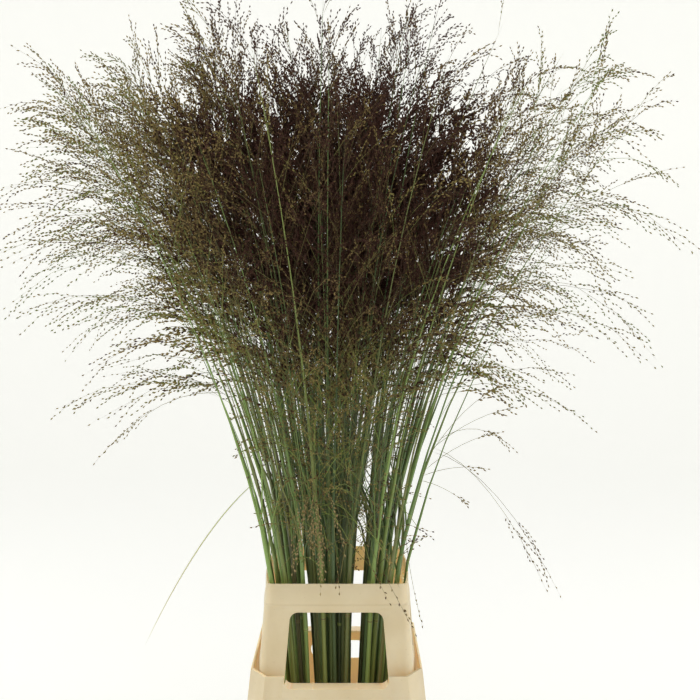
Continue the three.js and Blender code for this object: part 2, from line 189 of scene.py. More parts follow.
class Kind(NamedTuple):
    """A kind of stalk, in millimetres."""

    sides: int
    girth: float  # how thick it is, as a share of a main culm
    leaves: tuple  # between which heights it leaves its parent
    swing: float  # the height over which it swings out
    shorter: tuple  # how much lower it ends than a main culm
    head: tuple  # length of its seed head
    fullness: float  # branches of its head, as a share of a main culm's
    laid: int  # branches that the solid stems have too
    lengths: tuple  # of its lowest and uppermost branches
    angles: tuple
    bare: float  # share of a branch before its first twig
    twigs: float  # as a share of a main culm's
    branch_radius: float


MAIN_BRANCHES = ((320, 90), (0.76, 0.36))
CULM = Kind(8, 1.0, (0, 0), 1, (0, 0), (440, 520), 1.0, 4, *MAIN_BRANCHES, 0.3, 1.0, 0.36)
SHOOT = Kind(8, 0.85, (50, 50), 95, (70, 230), (330, 430), 0.8, 3, *MAIN_BRANCHES, 0.3, 1.0, 0.36)
THIN = SHOOT._replace(
    sides=6, girth=0.7, fullness=0.55, laid=0, lengths=(300, 100), angles=(0.7, 0.34), bare=0.35
)
EDGE = THIN._replace(fullness=0.2)
LOW_BRANCHES = ((170, 90), (0.95, 0.5))
LOW = Kind(
    5, 0.52, (360, 430), 130, (300, 500), (210, 290), 0.36, 0, *LOW_BRANCHES, 0.4, 0.5, 0.6
)
LOW_SIDES = 0.5  # low shoots at the sides of the bunch end higher by up to this share
# The shoots at the sides of the bunch: row, column and the number of the parent
EDGE_SHOOTS = ((2.6, 7.76, 31), (6.2, -1.14, 48))
# Where the numbers of the further shoots begin
THIN_FROM = 200
LOW_FROM = 300
EDGE_FROM = 800

# The loose branches that hang low or reach far out. Each: row and column of its culm, the height
# at which it leaves it, its rise over the straight way, how late it swings out, its tip, its side
# twigs, the bare share before them, and its tone.
LOOSE_BRANCHES = (
    (0, 3, 520, 30, 1.0, (-21, -200, 344), 18, 0.3, 0.45),
    (3, 7, 530, 45, 1.0, (336, -60, 303), 5, 0.6, 0.75),
    (3, 7, 536, 40, 1.0, (307, -110, 325), 5, 0.6, 0.75),
    (3, 7, 541, 30, 1.0, (277, 10, 517), 6, 0.5, 0.6),
    (4, 0, 610, 40, 1.0, (-368, -40, 502), 7, 0.5, 0.5),
    (6, 7, 790, 35, 1.0, (550, 40, 962), 7, 0.5, 0.6),
    (8, 7, 850, 30, 1.0, (524, 150, 1085), 8, 0.5, 0.5),
    (5, 0, 810, 35, 1.0, (-509, -20, 985), 7, 0.5, 0.6),
    (3, 0, 880, 25, 1.0, (-470, -120, 1120), 7, 0.5, 0.7),
    (0, 4, 514, 8, 1.2, (112, -197, 289), 1, 0.8, 0.8),
    (0, 4, 500, 6, 1.3, (76, -198, 332), 1, 0.7, 0.8),
    (0, 4, 455, 4, 1.3, (5, -190, 345), 2, 0.5, 0.7),
    (0, 5, 480, 22, 1.2, (88, -176, 352), 2, 0.5, 0.5),
    (0, 2, 470, 12, 1.2, (-62, -176, 366), 4, 0.4, 0.4),
    (0, 2, 500, 20, 1.2, (-46, -190, 394), 5, 0.3, 0.45),
    (0, 2, 510, 22, 1.2, (-25, -190, 408), 5, 0.3, 0.5),
    (0, 3, 492, 34, 1.0, (-56, -205, 373), 9, 0.3, 0.45),
    (0, 3, 484, 26, 1.0, (-36, -200, 390), 9, 0.35, 0.4),
    (0, 3, 476, 22, 1.0, (-14, -205, 362), 9, 0.35, 0.42),
    (0, 3, 500, 30, 1.0, (14, -205, 395), 7, 0.3, 0.45),
    (1, 7, 520, 18, 1.0, (241, -120, 632), 3, 0.6, 0.55),
    (1, 7, 535, 14, 1.0, (269, -110, 600), 3, 0.6, 0.6),
    (1, 7, 505, 12, 1.0, (240, -130, 566), 2, 0.6, 0.55),
    (1, 7, 500, 8, 1.0, (219, -130, 512), 2, 0.65, 0.6),
    (1, 7, 495, 6, 1.0, (188, -140, 462), 2, 0.7, 0.6),
    (1, 7, 420, 0, 1.6, (120, -190, 299), 0, 0.9, 0.6),
)
# Bare hairs in front: row and column of the culm, the height, the rise, the tip and the tone
FINE_HAIRS = (
    (0, 3, 452, 16, (22, -190, 411), 0.1),
    (0, 3, 455, 26, (41, -190, 422), 0.05),
    (0, 3, 447, 22, (73, -190, 401), 0.1),
    (0, 3, 440, 8, (-25, -185, 394), 0.15),
    (0, 3, 462, 14, (5, -188, 440), 0.1),
    (0, 5, 455, 10, (88, -190, 355), 0.3),
    (0, 5, 430, 14, (5, -190, 366), 0.45),
    (0, 5, 445, 8, (49, -185, 380), 0.2),
    (0, 2, 400, 3, (-81, -180, 376), 0.45),
    (0, 6, 470, 12, (118, -180, 430), 0.15),
    (0, 2, 500, 16, (-84, -185, 455), 0.1),
)
LOOSE_RADIUS = 0.42
HAIR_RADIUS = 0.5
HUSK_TONE = 0.48  # a loose branch of a lower tone bears pale empty husks
# The one long leaf blade: row and column of its culm, the height, the rise and the tip
LEAF = (2, 0, 489, 26, (-277, -110, 254))
LEAF_HALF_WIDTH = 3.2
LEAF_TONE = 0.3

# Where each kind of surface lies on the grass's own map, from 0 to 1 across it
MAP_NAME = "OFBake"
# Culms run from painted shade at the first place to full light at the second
MAP_CULM = (0.02, 0.28)
MAP_NODE = 0.33
MAP_LEAF = (0.38, 0.44)
MAP_HAIR = (0.50, 0.56)
MAP_HUSK = (0.59, 0.62)
MAP_SEED = (0.66, 0.80, 0.96)


# ---------------------------------------------------------------------------------------------
# Settings


def colour_setting(name, description, default):
    return FloatVectorProperty(
        name=name, description=description, default=default, subtype="COLOR", min=0, max=1
    )


def length_setting(name, description, default, low, high):
    return FloatProperty(
        name=name, description=description, default=default, min=low, max=high, unit="LENGTH"
    )


def count_setting(name, description, default, low, high):
    return IntProperty(name=name, description=description, default=default, min=low, max=high)


class HolderSettings(bpy.types.PropertyGroup):
    plastic: colour_setting(
        "Plastic", "Colour of the bucket's and the collar's outside", (0.68, 0.575, 0.385)
    )
    # Painted glow: the inside plastic is drawn warmer and brighter than the outside, standing in
    # for the light that comes through the wall
    inside: colour_setting(
        "Inside",
        "Warmer colour of the plastic inside, where light comes through the wall",
        (0.86, 0.73, 0.50),
    )
    edge_round: length_setting(
        "Edge Rounding", "Radius of the moulded edges", 0.0007, 0, 0.001
    )


class GrassSettings(bpy.types.PropertyGroup):
    head_branches: count_setting(
        "Head Branches", "Branches of a main culm's seed head", 26, 4, 60
    )
    twigs: count_setting("Twigs", "Side twigs on each branch of a seed head", 5, 1, 12)
    spikelet_length: length_setting(
        "Spikelet Length", "Length of one seed", 0.0052, 0.002, 0.008
    )
    spikelet_width: length_setting(
        "Spikelet Width", "Width of one seed at its fattest", 0.0024, 0.0005, 0.003
    )
    purple: colour_setting("Ripe Seeds", "Colour of the darkest seeds", (0.052, 0.020, 0.015))
    straw: colour_setting("Straw", "Colour of the dry seeds", (0.310, 0.230, 0.085))
    green: colour_setting("Fresh Seeds", "Colour of the unripe seeds", (0.150, 0.180, 0.038))


class StageSettings(bpy.types.PropertyGroup):
    radius: length_setting(
        "Cove Radius", "From the middle of the floor to the backdrop", 6.0, 5.0, 12.0
    )
    light: FloatProperty(
        name="Side Lights",
        description="Power of each large side light",
        default=24.0,
        min=0,
        max=500,
    )


# ---------------------------------------------------------------------------------------------
# Shared tools


def mix(start, end, share):
    return start + (end - start) * share


def clamp(value, low=0.0, high=1.0):
    return min(max(value, low), high)


def smooth(share):
    s = clamp(share)
    return s * s * (3 - 2 * s)


def dice(seed):
    """Repeatable draws between 0 and 1, the same that place the solid stems."""
    state = (seed * 747796405 + 2891336453) % 2**32

    def draw():
        nonlocal state
        state = (state * 1664525 + 1013904223) % 2**32
        return state / 2**32

    draw()
    draw()
    return draw


def spread(draw, size):
    return (2 * draw() - 1) * size


def new_object(name, mesh):
    piece = bpy.data.objects.new(name, mesh)
    bpy.context.scene.collection.objects.link(piece)
    return piece


def finished_mesh(piece, name):
    """The mesh of an object with its modifiers applied, the object itself being removed."""
    bpy.context.view_layer.update()
    graph = bpy.context.evaluated_depsgraph_get()
    mesh = bpy.data.meshes.new_from_object(piece.evaluated_get(graph))
    mesh.name = name
    bpy.data.objects.remove(piece)
    return mesh


def place_piece(name, mesh, slot, *nodes):
    """Puts a finished mesh in the scene as the piece that stands for CAD nodes."""
    piece = new_object(name, mesh)
    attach(piece, "root")
    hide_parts(*nodes)
    return piece


def ramp_node(nodes, stops):
    """A colour ramp with its stops as (position, colour)."""
    node = nodes.new("ShaderNodeValToRGB")
    elements = node.color_ramp.elements
    while len(elements) < len(stops):
        elements.new(0.5)
    for element, (position, colour) in zip(elements, stops):
        element.position = position
        element.color = (*colour, 1)
    return node


def mixed_colour(nodes, links, factor, first, second):
    """A mix of two colours, each a socket or a plain colour."""
    node = nodes.new("ShaderNodeMix")
    node.data_type = "RGBA"
    links.new(factor, node.inputs["Factor"])
    for socket, colour in ((node.inputs[6], first), (node.inputs[7], second)):
        if isinstance(colour, bpy.types.NodeSocket):
            links.new(colour, socket)
        else:
            socket.default_value = (*colour, 1)
    return node.outputs[2]


# ---------------------------------------------------------------------------------------------
# Plastic


# The share of light that wanders through the wall, and the strength of a painted glow that stands
# in for what shines through from behind it
OUTSIDE_LIGHT = (0.25, 0.0)
INSIDE_LIGHT_AND_PAINTED_GLOW = (0.8, 0.17)
# The scale and the detail of each noise, and for one how rough it is
CLOUD_NOISE = (14, 4)
SPECK_NOISE = (260, 3, 0.7)
GLOSS_NOISE = (60, 5)
SKIN_NOISE = (900, 2)
CLOUD_SHADE = (0.90, 0.87, 0.80)
DUST_SHADE = (0.72, 0.66, 0.58)
MOST_DUST = 0.45
ROUGHNESS = (0.42, 0.58)
CORNER_STEPS = 8
# The slot of the inside material, whose warmer colour and emission paint the glow of light through
# the wall
PAINTED_GLOW_SLOT = 1  # the material slot of faces that look inwards


def plastic_material(name, colour, glow, painted_glow):
    """Moulded plastic with faint clouding, dust in its pores and a fine skin, and an emission that
    paints the glow of light coming through the wall.
    """
    material = bpy.data.materials.new(name)
    material.use_nodes = True
    nodes, links = material.node_tree.nodes, material.node_tree.links
    shader = nodes["Principled BSDF"]
    shader.inputs["IOR"].default_value = 1.5
    shader.inputs["Subsurface Weight"].default_value = glow
    shader.inputs["Subsurface Radius"].default_value = (1.0, 0.8, 0.5)
    shader.inputs["Subsurface Scale"].default_value = 0.006
    # Painted glow: a warm emission standing in for light that comes through the wall
    shader.inputs["Emission Color"].default_value = (1.0, 0.70, 0.38, 1)
    shader.inputs["Emission Strength"].default_value = painted_glow
    place = nodes.new("ShaderNodeTexCoord").outputs["Object"]

    def noise(scale, detail, rough=0.5):
        node = nodes.new("ShaderNodeTexNoise")
        node.inputs["Scale"].default_value = scale
        node.inputs["Detail"].default_value = detail
        node.inputs["Roughness"].default_value = rough
        links.new(place, node.inputs["Vector"])
        return node.outputs["Fac"]

    def narrowed(value, low, high, start=0.0, end=1.0):
        node = nodes.new("ShaderNodeMapRange")
        node.inputs["From Min"].default_value = low
        node.inputs["From Max"].default_value = high
        node.inputs["To Min"].default_value = start
        node.inputs["To Max"].default_value = end
        links.new(value, node.inputs["Value"])
        return node.outputs["Result"]

    darker = tuple(c * f for c, f in zip(colour, CLOUD_SHADE))
    dusty = tuple(c * f for c, f in zip(colour, DUST_SHADE))
    cloudy = narrowed(noise(*CLOUD_NOISE), 0.35, 0.7)
    clouds = mixed_colour(nodes, links, cloudy, colour, darker)
    specks = narrowed(noise(*SPECK_NOISE), 0.62, 0.76, 0, MOST_DUST)
    links.new(mixed_colour(nodes, links, specks, clouds, dusty), shader.inputs["Base Color"])
    gloss = narrowed(noise(*GLOSS_NOISE), 0.3, 0.7, *ROUGHNESS)
    links.new(gloss, shader.inputs["Roughness"])
    bump = nodes.new("ShaderNodeBump")
    bump.inputs["Strength"].default_value = 0.12
    bump.inputs["Distance"].default_value = 0.0004
    links.new(noise(*SKIN_NOISE), bump.inputs["Height"])
    links.new(bump.outputs["Normal"], shader.inputs["Normal"])
    return material


def rounded_corners(bm, vertices, radius, segments):
    bmesh.ops.bevel(
        bm,
        geom=vertices,
        offset=radius,
        segments=segments,
        profile=0.5,
        affect="VERTICES",
        material=-1,
    )


def closed_prism(bm, levels):
    """A closed solid from the flat outline in bm, raised through levels."""
    (face,) = bm.faces
    flats = {v: v.co.copy() for v in face.verts}
    low = levels[0]
    for vertex, flat in flats.items():
        vertex.co = (flat.x * low[1], flat.y * low[2], low[0])
    for level in levels[1:]:
        made = bmesh.ops.extrude_face_region(bm, geom=[face])
        if level is not levels[1]:
            bmesh.ops.delete(bm, geom=[face], context="FACES_ONLY")
        raised_flats = {}
        for vertex in (v for v in made["geom"] if isinstance(v, bmesh.types.BMVert)):
            below = next(
                e.other_vert(vertex)
                for e in vertex.link_edges
                if e.other_vert(vertex) in flats
            )
            raised_flats[vertex] = flats[below]
            vertex.co = (flats[below].x * level[1], flats[below].y * level[2], level[0])
        (face,) = (f for f in made["geom"] if isinstance(f, bmesh.types.BMFace))
        flats = raised_flats
    bmesh.ops.recalc_face_normals(bm, faces=bm.faces)
    return bm


def mesh_of(bm, name):
    mesh = bpy.data.meshes.new(name)
    bm.to_mesh(mesh)
    bm.free()
    return mesh


def outline(points):
    bm = bmesh.new()
    bm.faces.new([bm.verts.new((x, y, 0)) for x, y in points])
    return bm


def octagon(half_width, half_length):
    inner_x = half_width - BUCKET_CORNER[0]
    inner_y = half_length - BUCKET_CORNER[1]
    return outline(
        (
            (-inner_x, -half_length),
            (inner_x, -half_length),
            (half_width, -inner_y),
            (half_width, inner_y),
            (inner_x, half_length),
            (-inner_x, half_length),
            (-half_width, inner_y),
            (-half_width, -inner_y),
        )
    )


def crowned_rectangle(half_width, half_length, radius, bulge):
    """A rectangle with round corners whose long sides are crowned outwards."""
    bm = outline(
        (
            (-half_width, -half_length),
            (half_width, -half_length),
            (half_width, half_length),
            (-half_width, half_length),
        )
    )
    rounded_corners(bm, bm.verts[:], radius, CORNER_STEPS)
    if bulge:
        long_sides = [e for e in bm.edges if e.calc_length() > half_length]
        long_sides = [e for e in long_sides if abs(e.verts[0].co.x) > half_width * 0.99]
        bmesh.ops.bisect_edges(bm, edges=long_sides, cuts=11)
        reach = half_length - radius
        for vertex in bm.verts:
            if abs(vertex.co.y) < reach:
                crown = bulge * (1 - (vertex.co.y / reach) ** 2)
                vertex.co.x += math.copysign(crown, vertex.co.x)
    return bm


def panel_cutter(foot, top, levels, rounds, reach, along_x=False):
    """A four-cornered cutter pushed right through the holder.

    foot and top are its left and right edges below and above, levels its two heights, and rounds
    the radii of its lower and its upper corners.
    """
    corners = [(across, levels[0]) for across in foot]
    corners += [(across, levels[1]) for across in reversed(top)]
    bm = outline(corners)
    for i, vertex in enumerate(bm.verts[:]):
        radius = rounds[i // 2]
        if radius:
            rounded_corners(bm, [vertex], radius, CORNER_STEPS)
    closed_prism(bm, ((-reach, 1, 1), (reach, 1, 1)))
    bmesh.ops.rotate(bm, verts=bm.verts, matrix=Matrix.Rotation(math.pi / 2, 3, "X"))
    if along_x:
        bmesh.ops.rotate(bm, verts=bm.verts, matrix=Matrix.Rotation(math.pi / 2, 3, "Z"))
    return mesh_of(bm, "cutter")


def carved(name, body, steps):
    """Applies Boolean steps, each (operation, mesh), to a body mesh."""
    piece = new_object(name, body)
    tools = []
    for operation, mesh in steps:
        tool = new_object(f"{name}_tool", mesh)
        tools.append(tool)
        modifier = piece.modifiers.new(operation.title(), "BOOLEAN")
        modifier.operation = operation
        modifier.solver = "EXACT"
        modifier.object = tool
    mesh = finished_mesh(piece, name)
    for tool in tools:
        bpy.data.objects.remove(tool)
    return mesh


def softened(name, mesh, width):
    """Rounds the moulded edges, and gives faces that look inwards, and the ledge's upper faces, the
    second material, whose warmer colour and emission are a painted glow of light through the wall.
    """
    piece = new_object(name, mesh)
    bevel = piece.modifiers.new("Edges", "BEVEL")
    bevel.width = width
    bevel.segments = 2
    bevel.limit_method = "ANGLE"
    bevel.angle_limit = math.radians(38)
    bevel.harden_normals = True
    mesh = finished_mesh(piece, name)
    for face in mesh.polygons:
        face.use_smooth = True
        outwards = face.normal.x * face.center.x + face.normal.y * face.center.y
        # The ledge's upper faces take the painted glow too, standing in for light through the wall
        upwards = face.normal.z > 0.5 and face.center.z < LEDGE_TOP + NOTCH_RADIUS
        face.material_index = PAINTED_GLOW_SLOT if outwards < 0 or upwards else 0
    mesh.set_sharp_from_angle(angle=math.radians(30))
    return mesh


def bucket_levels(half_width, half_length, heights):
    levels = []
    for z in heights:
        growth = BUCKET_GROWTH * (1 - z / BUCKET_HEIGHT)
        levels.append((z, 1 + growth / half_width, 1 + growth / half_length))
    return levels


def bucket_mesh(look):
    inner = (BUCKET_HALF_WIDTH - BUCKET_WALL, BUCKET_HALF_LENGTH - BUCKET_WALL)
    outer = closed_prism(
        octagon(BUCKET_HALF_WIDTH, BUCKET_HALF_LENGTH),
        bucket_levels(BUCKET_HALF_WIDTH, BUCKET_HALF_LENGTH, (0, BUCKET_HEIGHT)),
    )
    hollow = closed_prism(
        octagon(*inner), bucket_levels(*inner, (BUCKET_FLOOR, BUCKET_HEIGHT + OVERLAP))
    )
    ledge_low = LEDGE_TOP - LEDGE_THICKNESS
    grow = BUCKET_GROWTH * (1 - LEDGE_TOP / BUCKET_HEIGHT)

    def without_mouth(name, mesh):
        mouth = closed_prism(
            crowned_rectangle(
                inner[0] + grow - LEDGE_DEPTH,
                inner[1] + grow - LEDGE_DEPTH - BUCKET_CORNER[0] / 2,
                BUCKET_CORNER[0],
                0,
            ),
            ((ledge_low - OVERLAP, 1, 1), (BUCKET_HEIGHT, 1, 1)),
        )
        return carved(name, mesh, (("DIFFERENCE", mesh_of(mouth, "mouth")),))

    def cross_bar(start, end, low, high):
        edges = (start, end)
        reach = BUCKET_HALF_LENGTH - OVERLAP
        return without_mouth("bar", panel_cutter(edges, edges, (low, high), (0, 0), reach))

    plate = closed_prism(
        octagon(BUCKET_HALF_WIDTH - OVERLAP + grow, BUCKET_HALF_LENGTH - OVERLAP + grow),
        ((ledge_low, 1, 1), (LEDGE_TOP, 1, 1)),
    )
    ledge = without_mouth("ledge", mesh_of(plate, "ledge"))

    def notch():
        edges = (-NOTCH_HALF_WIDTH, NOTCH_HALF_WIDTH)
        levels = (LEDGE_TOP, BUCKET_HEIGHT + 2 * OVERLAP)
        return panel_cutter(edges, edges, levels, (NOTCH_RADIUS, 0), 2 * BUCKET_HALF_LENGTH)

    low, high = GRIP_LEVELS
    radius = (high - low) / 2 - 0.001
    edges = (-GRIP_HALF_WIDTH, GRIP_HALF_WIDTH)
    grip = panel_cutter(edges, edges, GRIP_LEVELS, (radius, radius), 2 * BUCKET_HALF_LENGTH)
    mesh = carved(
        "flower_bucket",
        mesh_of(outer, "outer"),
        (
            ("DIFFERENCE", mesh_of(hollow, "hollow")),
            ("UNION", ledge),
            ("DIFFERENCE", notch()),
            ("DIFFERENCE", grip),
        ),
    )
    trims = [
        cross_bar(x - RIB_WIDTH / 2, x + RIB_WIDTH / 2, LEDGE_TOP - OVERLAP, RIB_TOP)
        for x in LEDGE_RIBS
    ]
    # Where the notch is rounded the ledge curls up with it
    near, far = NOTCH_HALF_WIDTH - NOTCH_RADIUS, NOTCH_HALF_WIDTH - LIP_GAP
    for start, end in ((-far, -near), (near, far)):
        lip = cross_bar(start, end, LEDGE_TOP - OVERLAP, LEDGE_TOP + NOTCH_RADIUS)
        trims.append(carved("lip", lip, (("DIFFERENCE", notch()),)))
    bm = bmesh.new()
    for part in (softened("flower_bucket", mesh, look.edge_round), *trims):
        bm.from_mesh(part)
    mesh = mesh_of(bm, "flower_bucket")
    # The ribs and lips take the second material too, with its painted glow of light through the
    # wall
    for face in mesh.polygons[-sum(len(trim.polygons) for trim in trims) :]:
        face.material_index = PAINTED_GLOW_SLOT
    return mesh


def collar_levels(half_width, half_length, levels):
    return [(z, 1 + grow / half_width, 1 + grow / half_length) for z, grow in levels]


def collar_mesh(look):
    def growth(z):
        return COLLAR_GROWTH * (COLLAR_TOP - z) / (COLLAR_TOP - COLLAR_FOOT)

    outer = closed_prism(
        crowned_rectangle(COLLAR_HALF_WIDTH, COLLAR_HALF_LENGTH, COLLAR_CORNER, COLLAR_BULGE),
        collar_levels(
            COLLAR_HALF_WIDTH,
            COLLAR_HALF_LENGTH,
            (
                (COLLAR_FOOT, growth(COLLAR_FOOT)),
                (BAND_FOOT - BAND_STEP, growth(BAND_FOOT)),
                (BAND_FOOT, growth(BAND_FOOT) - BAND_STEP),
                (COLLAR_TOP, growth(COLLAR_TOP)),
            ),
        ),
    )
    inner = (
        COLLAR_HALF_WIDTH - COLLAR_WALL - BAND_STEP,
        COLLAR_HALF_LENGTH - COLLAR_WALL - BAND_STEP,
    )
    hollow = closed_prism(
        crowned_rectangle(*inner, COLLAR_CORNER - COLLAR_WALL, COLLAR_BULGE),
        collar_levels(
            *inner,
            (
                (COLLAR_FOOT - 2 * OVERLAP, growth(COLLAR_FOOT) + BAND_STEP),
                (BAND_FOOT - BAND_STEP, growth(BAND_FOOT) + BAND_STEP),
                (BAND_FOOT, growth(BAND_FOOT)),
                (COLLAR_TOP + 2 * OVERLAP, BAND_STEP),
            ),
        ),
    )
    windows = [
        panel_cutter(
            (-WINDOW_HALF_FOOT, WINDOW_HALF_FOOT),
            (-WINDOW_HALF_TOP, WINDOW_HALF_TOP),
            (COLLAR_FOOT - 4 * OVERLAP, WINDOW_TOP),
            (0, WINDOW_RADIUS),
            2 * COLLAR_HALF_LENGTH,
        )
    ]
    half_top = SIDE_WINDOW_HALF - SIDE_WINDOW_TAPER
    for centre in (-SIDE_WINDOW_CENTRE, SIDE_WINDOW_CENTRE):
        windows.append(
            panel_cutter(
                (centre - SIDE_WINDOW_HALF, centre + SIDE_WINDOW_HALF),
                (centre - half_top, centre + half_top),
                (SIDE_WINDOW_FOOT, WINDOW_TOP),
                (WINDOW_RADIUS, WINDOW_RADIUS),
                2 * COLLAR_HALF_LENGTH,
                along_x=True,
            )
        )
    steps = [("DIFFERENCE", mesh_of(hollow, "hollow"))]
    steps += [("DIFFERENCE", window) for window in windows]
    mesh = carved("bucket_collar", mesh_of(outer, "outer"), steps)
    return softened("bucket_collar", mesh, look.edge_round)


# ---------------------------------------------------------------------------------------------
# Grass: the plan of the bunch


class Stalk:
    """One culm or side shoot: where it stands in the bunch, how tall it is, how it strays."""

    def __init__(self, row, column, kind=CULM, parent=None, number=None):
        self.kind = kind
        self.parent = parent
        self.number = row * COLUMNS + column if number is None else number
        draw = dice(Seed.STALK + self.number)
        shift = row * ROW_SHIFT % 1 - 0.5
        self.u = (column - (COLUMNS - 1) / 2 + shift) / (COLUMNS / 2)
        self.v = (row - (ROWS - 1) / 2) / ((ROWS - 1) / 2)
        self.base = (spread(draw, BASE_JITTER), spread(draw, BASE_JITTER))
        self.rim = (spread(draw, RIM_JITTER), spread(draw, RIM_JITTER))
        self.wander = (spread(draw, TIP_WANDER) + LEAN_RIGHT, spread(draw, TIP_WANDER))
        drop = OUTER_DROP * min(self.u**2 + self.v**2, OUTER_LIMIT)
        self.tip = TALLEST - drop + spread(draw, HEIGHT_JITTER)
        self.head = mix(*CULM.head, draw())
        shorter = mix(*kind.shorter, draw())
        if kind is LOW:
            shorter *= 1 - LOW_SIDES * min(abs(self.u), 1)
        self.tip -= shorter
        self.turn = draw() * 2 * math.pi
        self.foot = CULM_BASE
        self.tint = dice(Seed.TINT + self.number)()
        if parent:
            self.head = mix(*kind.head, dice(Seed.SHOOT_HEAD + self.number)())
            self.foot = mix(*kind.leaves, dice(Seed.SHOOT_FOOT + self.number)())

    def stands_at(self, row, column):
        return self.number == row * COLUMNS + column

    def parted(self, above):
        """How far the partings push the culm sideways at the floor and at a height over the rim."""
        floor, rim = 0.0, 0.0
        for across, slant, at_floor, at_rim, closed in PARTINGS:
            off = self.u - across - slant * self.v
            near = max(1 - abs(off) / PARTING_REACH, 0) ** 2
            floor += math.copysign(at_floor * near, off)
            rim += math.copysign(at_rim * near, off) * (1 - smooth(above / closed))
        return floor, rim

    def place(self, z):
        """Where the stalk's own line is at height z."""
        low = min(z / RIM_LEVEL, 1)
        above = max(z - RIM_LEVEL, 0)
        stray = (above / WANDER_RISE) ** 2
        floor, rim = self.parted(above)
        push = rim * fan(FAN_X, z) if above else mix(floor * FAN_X[0], rim * FAN_X[1], low)
        x = self.u * fan(FAN_X, z) + push + mix(self.base[0], self.rim[0], low)
        y = self.v * fan(FAN_Y, z) + mix(self.base[1], self.rim[1], low)
        return Vector((x + self.wander[0] * stray, y + self.wander[1] * stray, z))

    def at(self, z):
        """The middle of the stalk at height z. A shoot starts inside its parent."""
        if self.parent is None:
            return self.place(z)
        share = smooth((z - self.foot) / self.kind.swing)
        return self.parent.place(z).lerp(self.place(z), share)

    def radius(self, z):
        head_foot = self.tip - self.head
        levels = (
            CULM_BASE,
            RIM_LEVEL,
            mix(RIM_LEVEL, head_foot, HALF_WAY),
            head_foot,
            mix(head_foot, self.tip, 0.5),
            self.tip,
        )
        return float(np.interp(z, levels, CULM_RADII)) * self.kind.girth


def fan(shape, z):
    """Half of the bunch's width or depth at height z."""
    floor, rim, lean, arch = shape
    above = z - RIM_LEVEL
    if above < 0:
        return mix(floor, rim, z / RIM_LEVEL)
    return rim + lean * above + arch * above * above


def plan_stems():
    """The stems of the bunch.

    Each is a culm, for some a side shoot in the next place of its row, a thin shoot that rises
    half a place further in, low shoots that leave it over the rim, and for two an edge shoot.
    """
    stems = []
    middle = ((ROWS - 1) / 2, (COLUMNS - 1) / 2)
    for row in range(ROWS):
        columns = [COLUMNS - 1 - c if row % 2 else c for c in range(COLUMNS)]
        columns.reverse()
        for i in range(len(SHOOT_EVERY)):
            column = columns.pop()
            culm = Stalk(row, column)
            stem = [culm]
            if SHOOT_EVERY[(i + row) % len(SHOOT_EVERY)]:
                stem.append(Stalk(row, columns.pop(), SHOOT, culm))
            inner = (
                row + math.copysign(0.5, middle[0] - row),
                column + math.copysign(0.5, middle[1] - column),
            )
            stem.append(Stalk(*inner, THIN, culm, THIN_FROM + culm.number))
            for k in range(LOW_SHOOTS[row]):
                number = LOW_FROM + culm.number * max(LOW_SHOOTS) + k
                draw = dice(Seed.LOW_PLACE + number)
                near_row = mix(row, middle[0], LOW_INWARDS[0]) + spread(draw, LOW_STRAY[0])
                near_column = mix(column, middle[1], LOW_INWARDS[1]) + spread(draw, LOW_STRAY[1])
                stem.append(Stalk(near_row, near_column - 0.5, LOW, culm, number))
            stem += [
                Stalk(*place, EDGE, culm, EDGE_FROM + culm.number)
                for *place, number in EDGE_SHOOTS
                if number == culm.number
            ]
            stems.append(stem)
    return stems


# ---------------------------------------------------------------------------------------------
# Grass: strands


HAIR_SIDES = 3
STRIPES = (0.0, 0.09, -0.04, 0.05)  # what the sides of a culm add to its tone


class Strands:
    """Tapering strands of one section, gathered to be meshed together.

    A strand is a list of points and one of radii, in millimetres, and where it lies on the map:
    its tone across and its place up, one of each for every point.
    """

    def __init__(self, section):
        self.section = section
        self.lines = []

    def add(self, points, radii, tones, places):
        self.lines.append((points, radii, tones, places))

    def mesh(self, slot):
        """One closed mesh of all strands, whose ends of no radius are drawn to a point."""
        curve = bpy.data.curves.new("strands", "CURVE")
        curve.dimensions = "3D"
        curve.bevel_mode = "OBJECT"
        curve.bevel_object = section_object(self.section)
        curve.use_fill_caps = False
        sides = len(self.section)
        for points, radii, _, _ in self.lines:
            spline = curve.splines.new("POLY")
            spline.points.add(len(points) - 1)
            flat = [c for x, y, z in points for c in (x * MM, y * MM, z * MM, 1.0)]
            spline.points.foreach_set("co", flat)
            spline.points.foreach_set("radius", [r * MM for r in radii])
        mesh = finished_mesh(new_object("strands", curve), "strands")
        bpy.data.objects.remove(curve.bevel_object)
        bpy.data.curves.remove(curve)
        tones = np.repeat([t for line in self.lines for t in line[2]], sides)
        places = np.repeat([p for line in self.lines for p in line[3]], sides)
        if sides > HAIR_SIDES:
            tones = tones + np.tile(np.resize(STRIPES, sides), len(tones) // sides)
        while mesh.uv_layers:
            mesh.uv_layers.remove(mesh.uv_layers[0])
        layer = mesh.uv_layers.new(name=MAP_NAME)
        corners = np.empty(len(mesh.loops), np.int32)
        mesh.loops.foreach_get("vertex_index", corners)
        spots = np.stack([np.clip(tones, 0.01, 0.99), places], 1)[corners]
        layer.uv.foreach_set("vector", spots.astype(np.float32).ravel())
        mesh.polygons.foreach_set("material_index", np.full(len(mesh.polygons), slot, np.int32))
        return mesh


def section_object(section):
    """A closed outline that the strands are swept with, clockwise so that they face outwards."""
    curve = bpy.data.curves.new("section", "CURVE")
    curve.dimensions = "2D"
    curve.fill_mode = "NONE"
    spline = curve.splines.new("POLY")
    spline.points.add(len(section) - 1)
    for point, (x, y) in zip(spline.points, section):
        point.co = (x, y, 0, 1)
    spline.use_cyclic_u = True
    return new_object("section", curve)


def round_section(sides):
    turns = [-2 * math.pi * i / sides for i in range(sides)]
    return [(math.cos(t), math.sin(t)) for t in turns]


